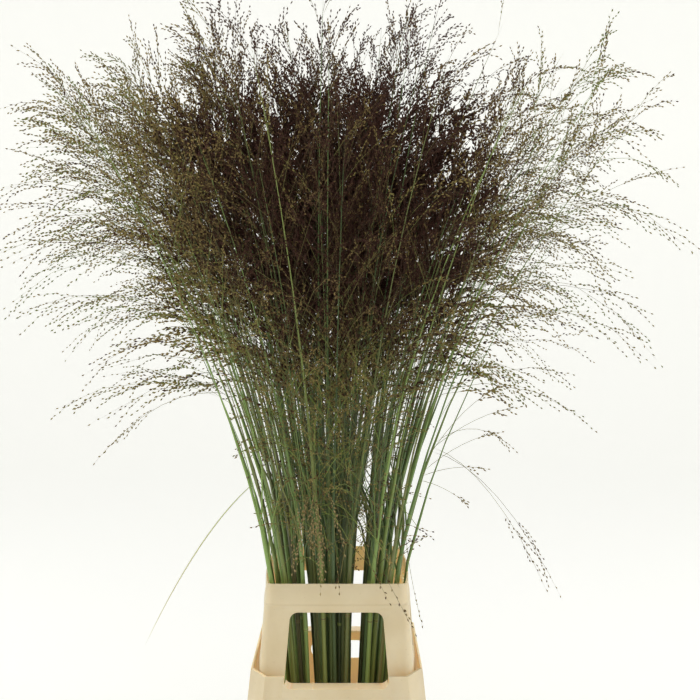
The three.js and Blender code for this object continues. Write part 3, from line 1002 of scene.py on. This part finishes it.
BLADE_SECTION = ((1, 0.16), (0, -0.12), (-1, 0.16), (-1, 0.08), (0, -0.26), (1, 0.08))
SHORTEST = 0.05  # share of its length that a strand always keeps


def within_box(root, points, ceiling=None):
    """Points drawn in towards their root until all lie inside the solid stems' box."""
    low, high = (corner / MM for corner in CAD_BOX)
    if ceiling:
        high.z = max(min(high.z, ceiling), root.z + 4 * BOX_MARGIN)
    share = 1.0
    for point in points:
        for axis in range(3):
            reach = point[axis] - root[axis]
            room = (high if reach > 0 else low)[axis] - root[axis]
            room -= math.copysign(BOX_MARGIN, reach)
            if abs(reach) > 1e-6 and room / reach < share:
                share = max(room / reach, SHORTEST)
    if share >= 1:
        return points
    return [root + (point - root) * share for point in points]


def sides_of(along):
    """Two directions across a strand."""
    across = Vector((0, 1, 0)).cross(along)
    if across.length < 1e-3:
        across = Vector((1, 0, 0))
    across.normalize()
    return across, along.cross(across)


def turned(along, angle, turn):
    """A direction at an angle from along, turned round it."""
    across, other = sides_of(along)
    sideways = across * math.cos(turn) + other * math.sin(turn)
    return along * math.cos(angle) + sideways * math.sin(angle)


def sagging(root, heading, length, sag, shares):
    """Points along a strand that sags the more, the less upright it is."""
    upright, level, droop = sag
    sag = (upright + level * (1 - heading.z * heading.z)) * droop
    return [
        root + heading * (length * s) - Vector((0, 0, sag * length * s * s)) for s in shares
    ]


def point_on(points, share):
    """The point and the direction at a share of a strand's points."""
    at = clamp(share) * (len(points) - 1)
    i = min(int(at), len(points) - 2)
    start, end = points[i], points[i + 1]
    return start.lerp(end, at - i), (end - start).normalized()


# How ripe a seed is, from 0, fresh green, over straw to 1, purple
RIPE_LEAST = 0.14
RIPE_RISE = 0.82  # more at the top of the bunch
RISE_FROM = (570, 665)  # where that starts in the middle and at the sides
RISE_OVER = 235
SIDE_FROM = 90  # the sides begin this far from the middle
SIDE_OVER = 270
SIDE_LOSS = 0.85  # share of the rise that the sides lack
CORE_PAINTED_SHADE = 0.35  # more ripeness in the thick of the bunch, as the seeds grow coarser: a painted shade that darkens the core
RIPE_LOW = 0.2  # more on low shoots
AHEAD = (0.28, 0.5)  # share of the seeds that are far ahead, and how far
TINT_SHARE = 0.3  # differences between the stems
TONE_SPREAD = 0.14
LOOSE_SPREAD = 0.2  # on the loose branches
MOODS = (-0.55, 0.26)  # how much less or more ripe a branch is than others near it

# Spikelets, twigs and branches
SPIKELET_LENGTHS = (0.82, 1.15)
SPIKELET_WIDTHS = (0.85, 1.15)
SPIKELET_LEAN = (0.15, 0.6)
LAST_LEAN = 0.1
SEED_COUNT = (3, 9)
TWIG_LEAN = (0.1, 0.4)
TWIG_SAG = (0.06, 0.24, 1)  # upright, how much more lying, and the whole times this
TWIG_RADIUS = 0.13
TWIG_LENGTHS = (0.16, 0.26)  # share of the branch's at its tip, and how much more at its foot
LEAST_TWIG = 18
TWIGS_END = 0.85  # share of the branch where the twigs end
SEEDS_ON_TWIG = 0.2  # share of a twig where its seeds begin
SEEDS_ON_BRANCH = 0.65
TAPER = 0.55
TWIG_PALER = 0.8
BRANCH_PALER = 0.85
BRANCH_SAG = (0.14, 0.42)
BRANCH_SHARES = (0, 0.15, 0.4, 0.7, 1)
HIGHEST_BRANCH = 0.97  # as a share of the head's height
LENGTH_SPREAD = (0.85, 0.3)
MORE_BARE = 0.3  # how much more of the lowest branches is bare on the outermost culms

# How the heads differ across the bunch: shares more or less at the left, right and middle
EDGE_WIDTH = 0.6  # share of half of the bunch over which that grows
MORE_BRANCHES = (-0.08, -0.36, 0.34)
LEFT_LONGER = (0.3, -0.08)  # branches at the foot and the top of a head
RIGHT_SHORTER = 0.16
OUTER_LOW_LONGER = 0.6  # low branches of the outermost culms
LOW_SHORTER = 0.4  # branches of the outermost low shoots
OUTER_SAG = 0.8
RIGHT_SAG = 0.3
RIGHT_FRINGE = (40, 80)  # the upper ends are lower at the right, and half way to it
HANGING_LEAST = RIM_LEVEL + 40  # low shoots have no branch that ends lower


class Head:
    """Draws the branches, twigs and spikelets of one seed head."""

    def __init__(self, strands, stalk, look):
        self.strands = strands
        self.stalk = stalk
        self.look = look
        self.draw = dice(Seed.HEAD + stalk.number)
        self.husks = False  # whether the spikelets are pale empty ones
        self.mood = 0.0  # how much riper the present branch is than others near it

    @staticmethod
    def coarse(point):
        """How much coarser a thing is drawn: 1 outside, more in the thick of the bunch."""
        depth = 1.0
        for value, (low, high) in zip(point, CORE):
            inwards = min(value - low, high - value)
            depth = min(depth, smooth(inwards / CORE_EDGE))
        return 1 + CORE_SEEDS * depth

    def tone(self, point, fixed=None):
        """How ripe a thing is here, darkened by painted shade in the thick of the bunch, or on a
        loose branch, whose tone is fixed.
        """
        if fixed is not None:
            return fixed + spread(self.draw, LOOSE_SPREAD)
        side = smooth((abs(point[0] - LEAN_RIGHT) - SIDE_FROM) / SIDE_OVER)
        high = smooth((point[2] - mix(*RISE_FROM, min(3 * side, 1))) / RISE_OVER)
        ripe = RIPE_LEAST + RIPE_RISE * high * (1 - SIDE_LOSS * side)
        # Painted shade: the thick of the bunch is drawn riper and darker
        ripe += CORE_PAINTED_SHADE * (self.coarse(point) - 1)
        ripe += self.mood + (RIPE_LOW if self.stalk.kind is LOW else 0)
        if self.draw() < AHEAD[0]:
            ripe += AHEAD[1]
        return ripe + TINT_SHARE * (self.stalk.tint - 0.5) + spread(self.draw, TONE_SPREAD)

    def spikelet(self, root, along, tone):
        draw = self.draw
        coarse = self.coarse(root)
        length = self.look.spikelet_length / MM * mix(*SPIKELET_LENGTHS, draw()) * coarse
        width = self.look.spikelet_width / MM * mix(*SPIKELET_WIDTHS, draw()) / 2 * coarse
        low, high = MAP_HUSK if self.husks else (MAP_SEED[0], MAP_SEED[-1])
        self.strands.add(
            [root, root + along * (0.5 * length), root + along * length],
            [0, width, 0],
            [tone] * 3,
            [low, mix(low, high, 0.5), high],
        )

    def hair(self, points, radii, tone):
        shares = np.linspace(*MAP_HAIR, len(points))
        self.strands.add(points, radii, [clamp(tone, 0.02, 0.98)] * len(points), list(shares))

    def seeds_along(self, points, start, count, fixed):
        """Spikelets in file on the outer part of a strand, leaning out to either side in turn."""
        turn = self.draw() * 2 * math.pi
        for i in range(count):
            share = start + (1 - start) * (i + 0.35 * self.draw()) / count
            root, along = point_on(points, share)
            lean = LAST_LEAN if i == count - 1 else mix(*SPIKELET_LEAN, self.draw())
            turn += math.pi + spread(self.draw, 0.7)
            self.spikelet(root, turned(along, lean, turn), self.tone(root, fixed))

    def twig(self, root, along, length, fixed):
        heading = turned(along, mix(*TWIG_LEAN, self.draw()), self.draw() * 2 * math.pi)
        points = within_box(root, sagging(root, heading, length, TWIG_SAG, (0, 0.5, 1)))
        radii = [0, TWIG_RADIUS * self.coarse(root), 0]
        self.hair(points, radii, self.tone(root, fixed) * TWIG_PALER)
        count = round(clamp(length / SEED_SPACING, *SEED_COUNT))
        self.seeds_along(points, SEEDS_ON_TWIG, count, fixed)

    def branch(self, points, radius, twigs, fixed=None, bare=0.3):
        """A branch along its points with twigs on its outer part and seeds at its end."""
        self.mood = mix(*MOODS, self.draw() ** 0.4)
        shares = np.linspace(0, 1, len(points))
        radii = [radius * (1 - TAPER * s) * self.coarse(p) ** 0.6 for s, p in zip(shares, points)]
        radii[0] = radii[-1] = 0
        self.hair(points, radii, self.tone(points[0], fixed) * BRANCH_PALER)
        length = sum((b - a).length for a, b in zip(points, points[1:]))
        slender = 1.0 if fixed is None else 0.5
        for i in range(twigs):
            share = mix(bare, TWIGS_END, (i + 0.7 * self.draw()) / twigs)
            root, along = point_on(points, share)
            reach = slender * length * (TWIG_LENGTHS[0] + TWIG_LENGTHS[1] * (1 - share))
            self.twig(root, along, max(reach * mix(0.7, 1.3, self.draw()), LEAST_TWIG), fixed)
        count = round(clamp(0.35 * length / SEED_SPACING, *SEED_COUNT))
        self.seeds_along(points, SEEDS_ON_BRANCH, count, fixed)

    def grow(self, count):
        """All branches of the head. The first few, which the solid stem has too, are laid."""
        stalk, kind = self.stalk, self.stalk.kind
        outer = min(abs(stalk.u), 1)
        left, right = smooth(-stalk.u / EDGE_WIDTH), smooth(stalk.u / EDGE_WIDTH)
        inner = smooth(1 - abs(stalk.u) / EDGE_WIDTH)
        places = (left, right, inner)
        count += round(count * sum(more * at for more, at in zip(MORE_BRANCHES, places)))
        for k in range(count):
            laid = k < kind.laid
            start = Seed.LAID_BRANCH if laid else Seed.BRANCH
            draw = dice(start + stalk.number * 1000 + k * 40)
            if laid:
                height = min((k + draw() * 0.9) / kind.laid, HIGHEST_BRANCH)
            else:
                share = (k - kind.laid + draw() * 0.9) / (count - kind.laid)
                upwards = 1 - (1 - share) ** (1.2 + 0.2 * left)
                height = mix(outer * outer / 2, HIGHEST_BRANCH, upwards)
            root_z = stalk.tip - stalk.head * (1 - height)
            root = stalk.at(root_z)
            along = (stalk.at(root_z + 5) - root).normalized()
            turn = stalk.turn + k * GOLDEN_TURN + spread(draw, 0.5)
            angle = mix(*kind.angles, height) + spread(draw, 0.1)
            length = mix(*kind.lengths, height) * (LENGTH_SPREAD[0] + LENGTH_SPREAD[1] * draw())
            length *= 1 + OUTER_REACH * abs(stalk.u) * (3 * smooth((height + 0.2) / 0.6) - 2)
            ceiling = CAD_BOX[1].z / MM
            droop = 1
            if not laid:
                length *= mix(0.62, 1.0, draw()) * (1 + 0.35 * height)
                if kind is LOW:
                    length *= 1 - LOW_SHORTER * abs(stalk.u)
                else:
                    length *= 1 + mix(*LEFT_LONGER, height) * left - RIGHT_SHORTER * right
                    length *= 1 + OUTER_LOW_LONGER * abs(stalk.u) * (1 - height) ** 2
                    droop = 1 + OUTER_SAG * outer * (1 - height) + RIGHT_SAG * right
                angle *= mix(0.6, 1.1, draw())
                ceiling = mix(*TOP_FRINGE, draw() ** 1.5) - RIGHT_FRINGE[0] * right
                ceiling -= RIGHT_FRINGE[1] * right * (1 - right)
                if root_z > ceiling - BOX_MARGIN:
                    continue
            heading = turned(along, angle, turn)
            points = sagging(root, heading, length, (*BRANCH_SAG, droop), BRANCH_SHARES)
            points = within_box(root, points, ceiling)
            if kind is LOW and points[-1].z < HANGING_LEAST:
                continue
            bare = kind.bare + MORE_BARE * outer * (1 - height)
            twigs = round(self.look.twigs * kind.twigs)
            self.branch(points, kind.branch_radius, twigs, None, bare)


CULM_TONE = (0.05, 0.8)
# Painted shade: culms are drawn darker in the middle of the bunch and low down, lighter at its ends
# and higher up
PAINTED_LIGHT_ACROSS = (0.18, 0.65)  # of the culms in the middle of a row, and how much more at its ends
PAINTED_LIGHT_SPREAD = 0.3
FIRST_JOINT = (60, 150)  # over the foot
JOINT_STEP = (150, 215)
SHEATH_LENGTH = (75, 130)
JOINT_HALF = 3
SWELLS = (1.0, 1.16, 1.12, 1.07, 0.98)  # under, at and over a joint, and where the sheath ends
BARE_FROM = 160  # over the last joint the bare upper part begins
MARK_STEP = 75  # between the points on it
JOINT_TONE = 0.25
PAINTED_LIGHT_LEAST = 0.06
PAINTED_LIGHT_MIDDLE = 0.45  # share of it that culms in the middle row keep
PAINTED_LIGHT_RISE = 4000  # height over which a culm would go from painted shade to full light


def culm_strand(strands, stalk):
    """A culm from its foot to its tip, with joints, sheaths and its own tint, and painted shade
    that darkens it low down and in the middle of the bunch.
    """
    draw = dice(Seed.CULM + stalk.number)
    tone = CULM_TONE[0] + CULM_TONE[1] * draw() ** 2.0
    # Painted shade: culms in the middle of the bunch are drawn darker, those at its ends lighter
    light = PAINTED_LIGHT_ACROSS[0] + PAINTED_LIGHT_ACROSS[1] * abs(stalk.u - 0.05) + spread(draw, PAINTED_LIGHT_SPREAD)
    depth = min(stalk.v * stalk.v, 1)
    light = clamp(PAINTED_LIGHT_LEAST + light * (PAINTED_LIGHT_MIDDLE + (1 - PAINTED_LIGHT_MIDDLE) * depth))
    foot, tip = stalk.foot, stalk.tip
    joints = []
    z = foot + mix(*FIRST_JOINT, draw())
    while z < tip - 0.75 * stalk.head:
        joints.append(z)
        z += mix(*JOINT_STEP, draw())
    marks = [(foot, 0, False), (foot + 0.2, 1, False)]
    for z in joints:
        sheath = mix(*SHEATH_LENGTH, draw())
        heights = (z - JOINT_HALF, z, z + JOINT_HALF, z + sheath, z + sheath + 2)
        marks += [(height, swell, height == z) for height, swell in zip(heights, SWELLS)]
    z = (joints or [foot])[-1] + BARE_FROM
    while z < tip - 20:
        marks.append((z, 1, False))
        z += MARK_STEP
    if stalk.parent:
        marks += [(foot + share * stalk.kind.swing, 1, False) for share in (0.3, 0.6, 0.9)]
    marks = sorted(mark for mark in marks if mark[0] < tip - 5) + [(tip, 0, False)]
    points, radii, tones, places = [], [], [], []
    for z, swell, joint in marks:
        points.append(stalk.at(z))
        radii.append(stalk.radius(z) * swell)
        tones.append(clamp(tone + (JOINT_TONE if joint else 0), 0.02, 0.98))
        # Up the map the culm goes from painted shade low down to full light higher up
        places.append(MAP_NODE if joint else mix(*MAP_CULM, clamp(light + z / PAINTED_LIGHT_RISE)))
    strands.add(points, radii, tones, places)


def arched(root, rise, tip, shares, swing=1.0):
    """An arch from root to tip that rises over the straight way and swings out late."""
    points = [root.lerp(Vector(tip), s**swing) for s in shares]
    for point, s in zip(points, shares):
        point.z = mix(root.z, tip[2], s) + 4 * rise * s * (1 - s)
    return points


def even_shares(count):
    return [i / count for i in range(count + 1)]


def leaf_strand(strands, root):
    shares = even_shares(14)
    points = arched(root, *LEAF[3:], shares)
    radii = [LEAF_HALF_WIDTH * math.sin(math.pi * (0.1 + 0.9 * s)) ** 0.6 for s in shares]
    radii[0] = radii[-1] = 0
    places = list(np.linspace(*MAP_LEAF, len(shares)))
    strands.add(points, radii, [LEAF_TONE] * len(shares), places)


def stem_mesh(number, stalks, look):
    """The whole stem: culm, shoots, seed heads, and any loose branch or leaf."""
    culms = {sides: Strands(round_section(sides)) for sides in (8, 6, 5)}
    hairs = Strands(round_section(HAIR_SIDES))
    blades = Strands(BLADE_SECTION)
    for stalk in stalks:
        culm_strand(culms[stalk.kind.sides], stalk)
        head = Head(hairs, stalk, look)
        head.grow(round(look.head_branches * stalk.kind.fullness))
        for row, column, start, rise, swing, tip, twigs, bare, tone in LOOSE_BRANCHES:
            if stalk.stands_at(row, column):
                head.husks = tone < HUSK_TONE
                points = arched(stalk.at(start), rise, tip, even_shares(8), swing)
                points = within_box(points[0], points)
                head.branch(points, LOOSE_RADIUS, twigs, tone, bare)
        for row, column, start, rise, tip, tone in FINE_HAIRS:
            if stalk.stands_at(row, column):
                points = arched(stalk.at(start), rise, tip, even_shares(8))
                head.hair(points, [0] + [HAIR_RADIUS] * 7 + [0], tone)
        if stalk.stands_at(*LEAF[:2]):
            leaf_strand(blades, stalk.at(LEAF[2]))
    bm = bmesh.new()
    for slot, strands in (*((0, culm) for culm in culms.values()), (1, hairs), (0, blades)):
        if strands.lines:
            mesh = strands.mesh(slot)
            bm.from_mesh(mesh)
            bpy.data.meshes.remove(mesh)
    piece = new_object("stem", mesh_of(bm, "stem"))
    weld = piece.modifiers.new("Tips", "WELD")
    weld.merge_threshold = 1e-6
    mesh = finished_mesh(piece, f"grass_{number:02d}")
    for face in mesh.polygons:
        face.use_smooth = True
    return mesh


# The grass's colours: a place up the map, and the colour there of fresh, dry and ripe grass
GRASS_COLOURS = (
    # The first three rows colour the culms from painted deep shade to full light
    (0.02, (0.022, 0.040, 0.018), (0.030, 0.036, 0.016), (0.026, 0.018, 0.013)),
    (0.12, (0.070, 0.130, 0.042), (0.095, 0.125, 0.036), (0.062, 0.044, 0.026)),
    (0.28, (0.210, 0.330, 0.090), (0.240, 0.300, 0.075), (0.150, 0.110, 0.055)),
    (MAP_NODE, (0.130, 0.140, 0.060), (0.115, 0.075, 0.040), (0.060, 0.030, 0.022)),
    (MAP_LEAF[0], (0.480, 0.580, 0.200), (0.500, 0.540, 0.220), (0.300, 0.240, 0.110)),
    (MAP_LEAF[1], (0.620, 0.600, 0.340), (0.640, 0.580, 0.340), (0.340, 0.240, 0.130)),
    (MAP_HAIR[0], (0.220, 0.310, 0.075), (0.220, 0.220, 0.080), (0.070, 0.045, 0.030)),
    (MAP_HAIR[1], (0.240, 0.300, 0.080), (0.220, 0.180, 0.075), (0.060, 0.030, 0.022)),
    (MAP_HUSK[0], (0.500, 0.400, 0.220), (0.440, 0.350, 0.170), (0.300, 0.200, 0.120)),
    (MAP_HUSK[1], (0.360, 0.260, 0.120), (0.260, 0.180, 0.080), (0.160, 0.090, 0.055)),
)
# Shades of the foot, the middle and the tip of a fresh, a dry and a ripe seed; the lighter foot is
# partly the paler base of the seed and partly a painted highlight
SEED_SHADES_AND_HIGHLIGHTS = ((1.9, 1.0, 0.7), (1.5, 1.0, 0.6), (2.2, 1.0, 0.75))


def grass_material(name, look, roughness, specular):
    """Tone runs across the map, from fresh over straw to ripe, and the kind of surface up it."""
    material = bpy.data.materials.new(name)
    material.use_nodes = True
    nodes, links = material.node_tree.nodes, material.node_tree.links
    shader = nodes["Principled BSDF"]
    shader.inputs["Roughness"].default_value = roughness
    shader.inputs["Specular IOR Level"].default_value = specular
    spot = nodes.new("ShaderNodeUVMap")
    spot.uv_map = MAP_NAME
    split = nodes.new("ShaderNodeSeparateXYZ")
    links.new(spot.outputs["UV"], split.inputs["Vector"])
    tone, kind = split.outputs["X"], split.outputs["Y"]

    places, *tones = zip(*GRASS_COLOURS)
    ramps = []
    # The seeds' lighter feet are partly a painted highlight
    for colours, seed, shades in zip(tones, (look.green, look.straw, look.purple), SEED_SHADES_AND_HIGHLIGHTS):
        shaded = [tuple(c * shade for c in seed) for shade in shades]
        stops = zip((*places, *MAP_SEED), (*colours, *shaded))
        ramps.append(ramp_node(nodes, list(stops)))
    fresh, dry, ripe = ramps
    for ramp in ramps:
        links.new(kind, ramp.inputs["Fac"])

    def half(start):
        node = nodes.new("ShaderNodeMapRange")
        node.inputs["From Min"].default_value = start
        node.inputs["From Max"].default_value = start + 0.5
        links.new(tone, node.inputs["Value"])
        return node.outputs["Result"]

    lower = mixed_colour(nodes, links, half(0.0), fresh.outputs["Color"], dry.outputs["Color"])
    colour = mixed_colour(nodes, links, half(0.5), lower, ripe.outputs["Color"])
    links.new(colour, shader.inputs["Base Color"])
    return material


# ---------------------------------------------------------------------------------------------
# Stage


COVE_BEND = 1.6
COVE_BEND_STEPS = 12
COVE_HEIGHT = 5.0
COVE_SIDES = 96
AIM = (0, 0, 0.55)
# Each light: its place, its size, and its power as a share of a side light's
LIGHTS = {
    "left_light": ((-2.6, -0.2, 1.5), (2.2, 2.6), 1.0),
    "right_light": ((2.6, -0.4, 1.5), (2.2, 2.6), 1.0),
    "front_light": ((0.6, -3.6, 2.8), (2.6, 1.8), 0.33),
}
SKY_COLOUR = (1, 1, 0.99, 1)
SKY_STRENGTH = 0.6
CAMERA_PLACE = (0.019, -2.070, 0.769)
CAMERA_LENS = 70.1
CAMERA_SHIFT = -0.0871


def stage_material():
    material = bpy.data.materials.new("stage")
    material.use_nodes = True
    nodes, links = material.node_tree.nodes, material.node_tree.links
    shader = nodes["Principled BSDF"]
    shader.inputs["Base Color"].default_value = (0.93, 0.93, 0.915, 1)
    shader.inputs["Roughness"].default_value = 0.9
    shader.inputs["Specular IOR Level"].default_value = 0.1
    shader.inputs["Emission Color"].default_value = (1, 1, 0.94, 1)
    shader.inputs["Emission Strength"].default_value = 0.18
    return material


def cove_mesh(radius):
    """A round floor that rises into a wall, spun from its profile."""
    bm = bmesh.new()
    flat, bend = radius - COVE_BEND, COVE_BEND
    profile = [(0.0, 0.0), (flat, 0.0)]
    for i in range(1, COVE_BEND_STEPS + 1):
        turn = i / COVE_BEND_STEPS * math.pi / 2
        profile.append((flat + bend * math.sin(turn), bend - bend * math.cos(turn)))
    profile.append((radius, COVE_HEIGHT))
    verts = [bm.verts.new((r, 0, z)) for r, z in profile]
    edges = [bm.edges.new(pair) for pair in zip(verts, verts[1:])]
    bmesh.ops.spin(
        bm,
        geom=verts + edges,
        cent=(0, 0, 0),
        axis=(0, 0, 1),
        angle=2 * math.pi,
        steps=COVE_SIDES,
        use_merge=True,
    )
    bmesh.ops.remove_doubles(bm, verts=bm.verts, dist=1e-5)
    bmesh.ops.recalc_face_normals(bm, faces=bm.faces)
    if sum(face.normal.z * face.calc_area() for face in bm.faces) < 0:
        bmesh.ops.reverse_faces(bm, faces=bm.faces)
    for face in bm.faces:
        face.smooth = True
    return mesh_of(bm, "cove")


def area_light(name, place, size, power):
    lamp = bpy.data.lights.new(name, "AREA")
    lamp.shape = "RECTANGLE"
    lamp.size, lamp.size_y = size
    lamp.energy = power
    lamp_object = new_object(name, lamp)
    lamp_object.location = place
    heading = Vector(AIM) - Vector(place)
    lamp_object.rotation_euler = heading.to_track_quat("-Z", "Y").to_euler()


# ---------------------------------------------------------------------------------------------
# Operators


class SWITCHGRASS_OT_make_bucket(bpy.types.Operator):
    """Make the bucket with its grips, notches and ledge"""

    bl_idname = "switchgrass.make_bucket"
    bl_label = "Make Bucket"

    def execute(self, context):
        look = context.scene.switchgrass_holder
        mesh = bucket_mesh(look)
        mesh.materials.append(plastic_material("bucket plastic", look.plastic, *OUTSIDE_LIGHT))
        # The inside material is warmer and glows: painted light coming through the wall
        mesh.materials.append(plastic_material("bucket inside painted glow", look.inside, *INSIDE_LIGHT_AND_PAINTED_GLOW))
        place_piece("flower_bucket", mesh, "bucket_plastic", "bucket")
        return {"FINISHED"}


class SWITCHGRASS_OT_make_collar(bpy.types.Operator):
    """Make the windowed collar that stands on the bucket's ledge"""

    bl_idname = "switchgrass.make_collar"
    bl_label = "Make Collar"

    def execute(self, context):
        look = context.scene.switchgrass_holder
        mesh = collar_mesh(look)
        mesh.materials.append(plastic_material("collar plastic", look.plastic, *OUTSIDE_LIGHT))
        # The inside material is warmer and glows: painted light coming through the wall
        mesh.materials.append(plastic_material("collar inside painted glow", look.inside, *INSIDE_LIGHT_AND_PAINTED_GLOW))
        place_piece("bucket_collar", mesh, "collar_plastic", "collar")
        return {"FINISHED"}


class SWITCHGRASS_OT_make_stems(bpy.types.Operator):
    """Grow every stem of the bunch with its seed heads"""

    bl_idname = "switchgrass.make_stems"
    bl_label = "Grow Stems"

    def execute(self, context):
        look = context.scene.switchgrass_grass
        materials = (
            grass_material("grass culms", look, 0.42, 0.4),
            grass_material("grass heads", look, 0.7, 0.12),
        )
        for number, stalks in enumerate(plan_stems(), 1):
            mesh = stem_mesh(number, stalks, look)
            for material in materials:
                mesh.materials.append(material)
            place_piece(f"grass_{number:02d}", mesh, "grass", f"stem_{number:02d}")
        return {"FINISHED"}


class SWITCHGRASS_OT_set_stage(bpy.types.Operator):
    """Set the floor, the lights and the camera"""

    bl_idname = "switchgrass.set_stage"
    bl_label = "Set Stage"

    def execute(self, context):
        look = context.scene.switchgrass_stage
        cove = new_object("cove", cove_mesh(look.radius))
        cove.data.materials.append(stage_material())
        for name, (place, size, share) in LIGHTS.items():
            area_light(name, place, size, look.light * share)
        world = bpy.data.worlds.new("studio")
        world.use_nodes = True
        sky = world.node_tree.nodes["Background"]
        sky.inputs["Color"].default_value = SKY_COLOUR
        sky.inputs["Strength"].default_value = SKY_STRENGTH
        context.scene.world = world
        lens = bpy.data.cameras.new("camera")
        lens.sensor_width = 36
        lens.lens = CAMERA_LENS
        lens.shift_y = CAMERA_SHIFT
        lens.clip_end = 60
        camera = new_object("camera", lens)
        camera.location = CAMERA_PLACE
        camera.rotation_euler = (math.radians(90), 0, 0)
        context.scene.camera = camera
        context.scene.view_settings.view_transform = "Standard"
        return {"FINISHED"}


class SWITCHGRASS_PT_panel(bpy.types.Panel):
    """The bunch's sizes, colours and steps"""

    bl_idname = "SWITCHGRASS_PT_panel"
    bl_label = "Switchgrass Bunch"
    bl_space_type = "VIEW_3D"
    bl_region_type = "UI"
    bl_category = "Switchgrass"

    def draw(self, context):
        layout = self.layout
        scene = context.scene
        for settings in (
            scene.switchgrass_holder,
            scene.switchgrass_grass,
            scene.switchgrass_stage,
        ):
            box = layout.box()
            for name in settings.__annotations__:
                box.prop(settings, name)
        for operator in OPERATORS:
            layout.operator(operator.bl_idname)


OPERATORS = (
    SWITCHGRASS_OT_make_bucket,
    SWITCHGRASS_OT_make_collar,
    SWITCHGRASS_OT_make_stems,
    SWITCHGRASS_OT_set_stage,
)
CLASSES = (HolderSettings, GrassSettings, StageSettings, *OPERATORS, SWITCHGRASS_PT_panel)


def register():
    for cls in CLASSES:
        bpy.utils.register_class(cls)
    bpy.types.Scene.switchgrass_holder = PointerProperty(type=HolderSettings)
    bpy.types.Scene.switchgrass_grass = PointerProperty(type=GrassSettings)
    bpy.types.Scene.switchgrass_stage = PointerProperty(type=StageSettings)


def unregister():
    del bpy.types.Scene.switchgrass_stage
    del bpy.types.Scene.switchgrass_grass
    del bpy.types.Scene.switchgrass_holder
    for cls in reversed(CLASSES):
        bpy.utils.unregister_class(cls)


def main():
    register()
    bpy.ops.switchgrass.make_bucket()
    bpy.ops.switchgrass.make_collar()
    bpy.ops.switchgrass.make_stems()
    bpy.ops.switchgrass.set_stage()


if __name__ == "__main__":
    main()
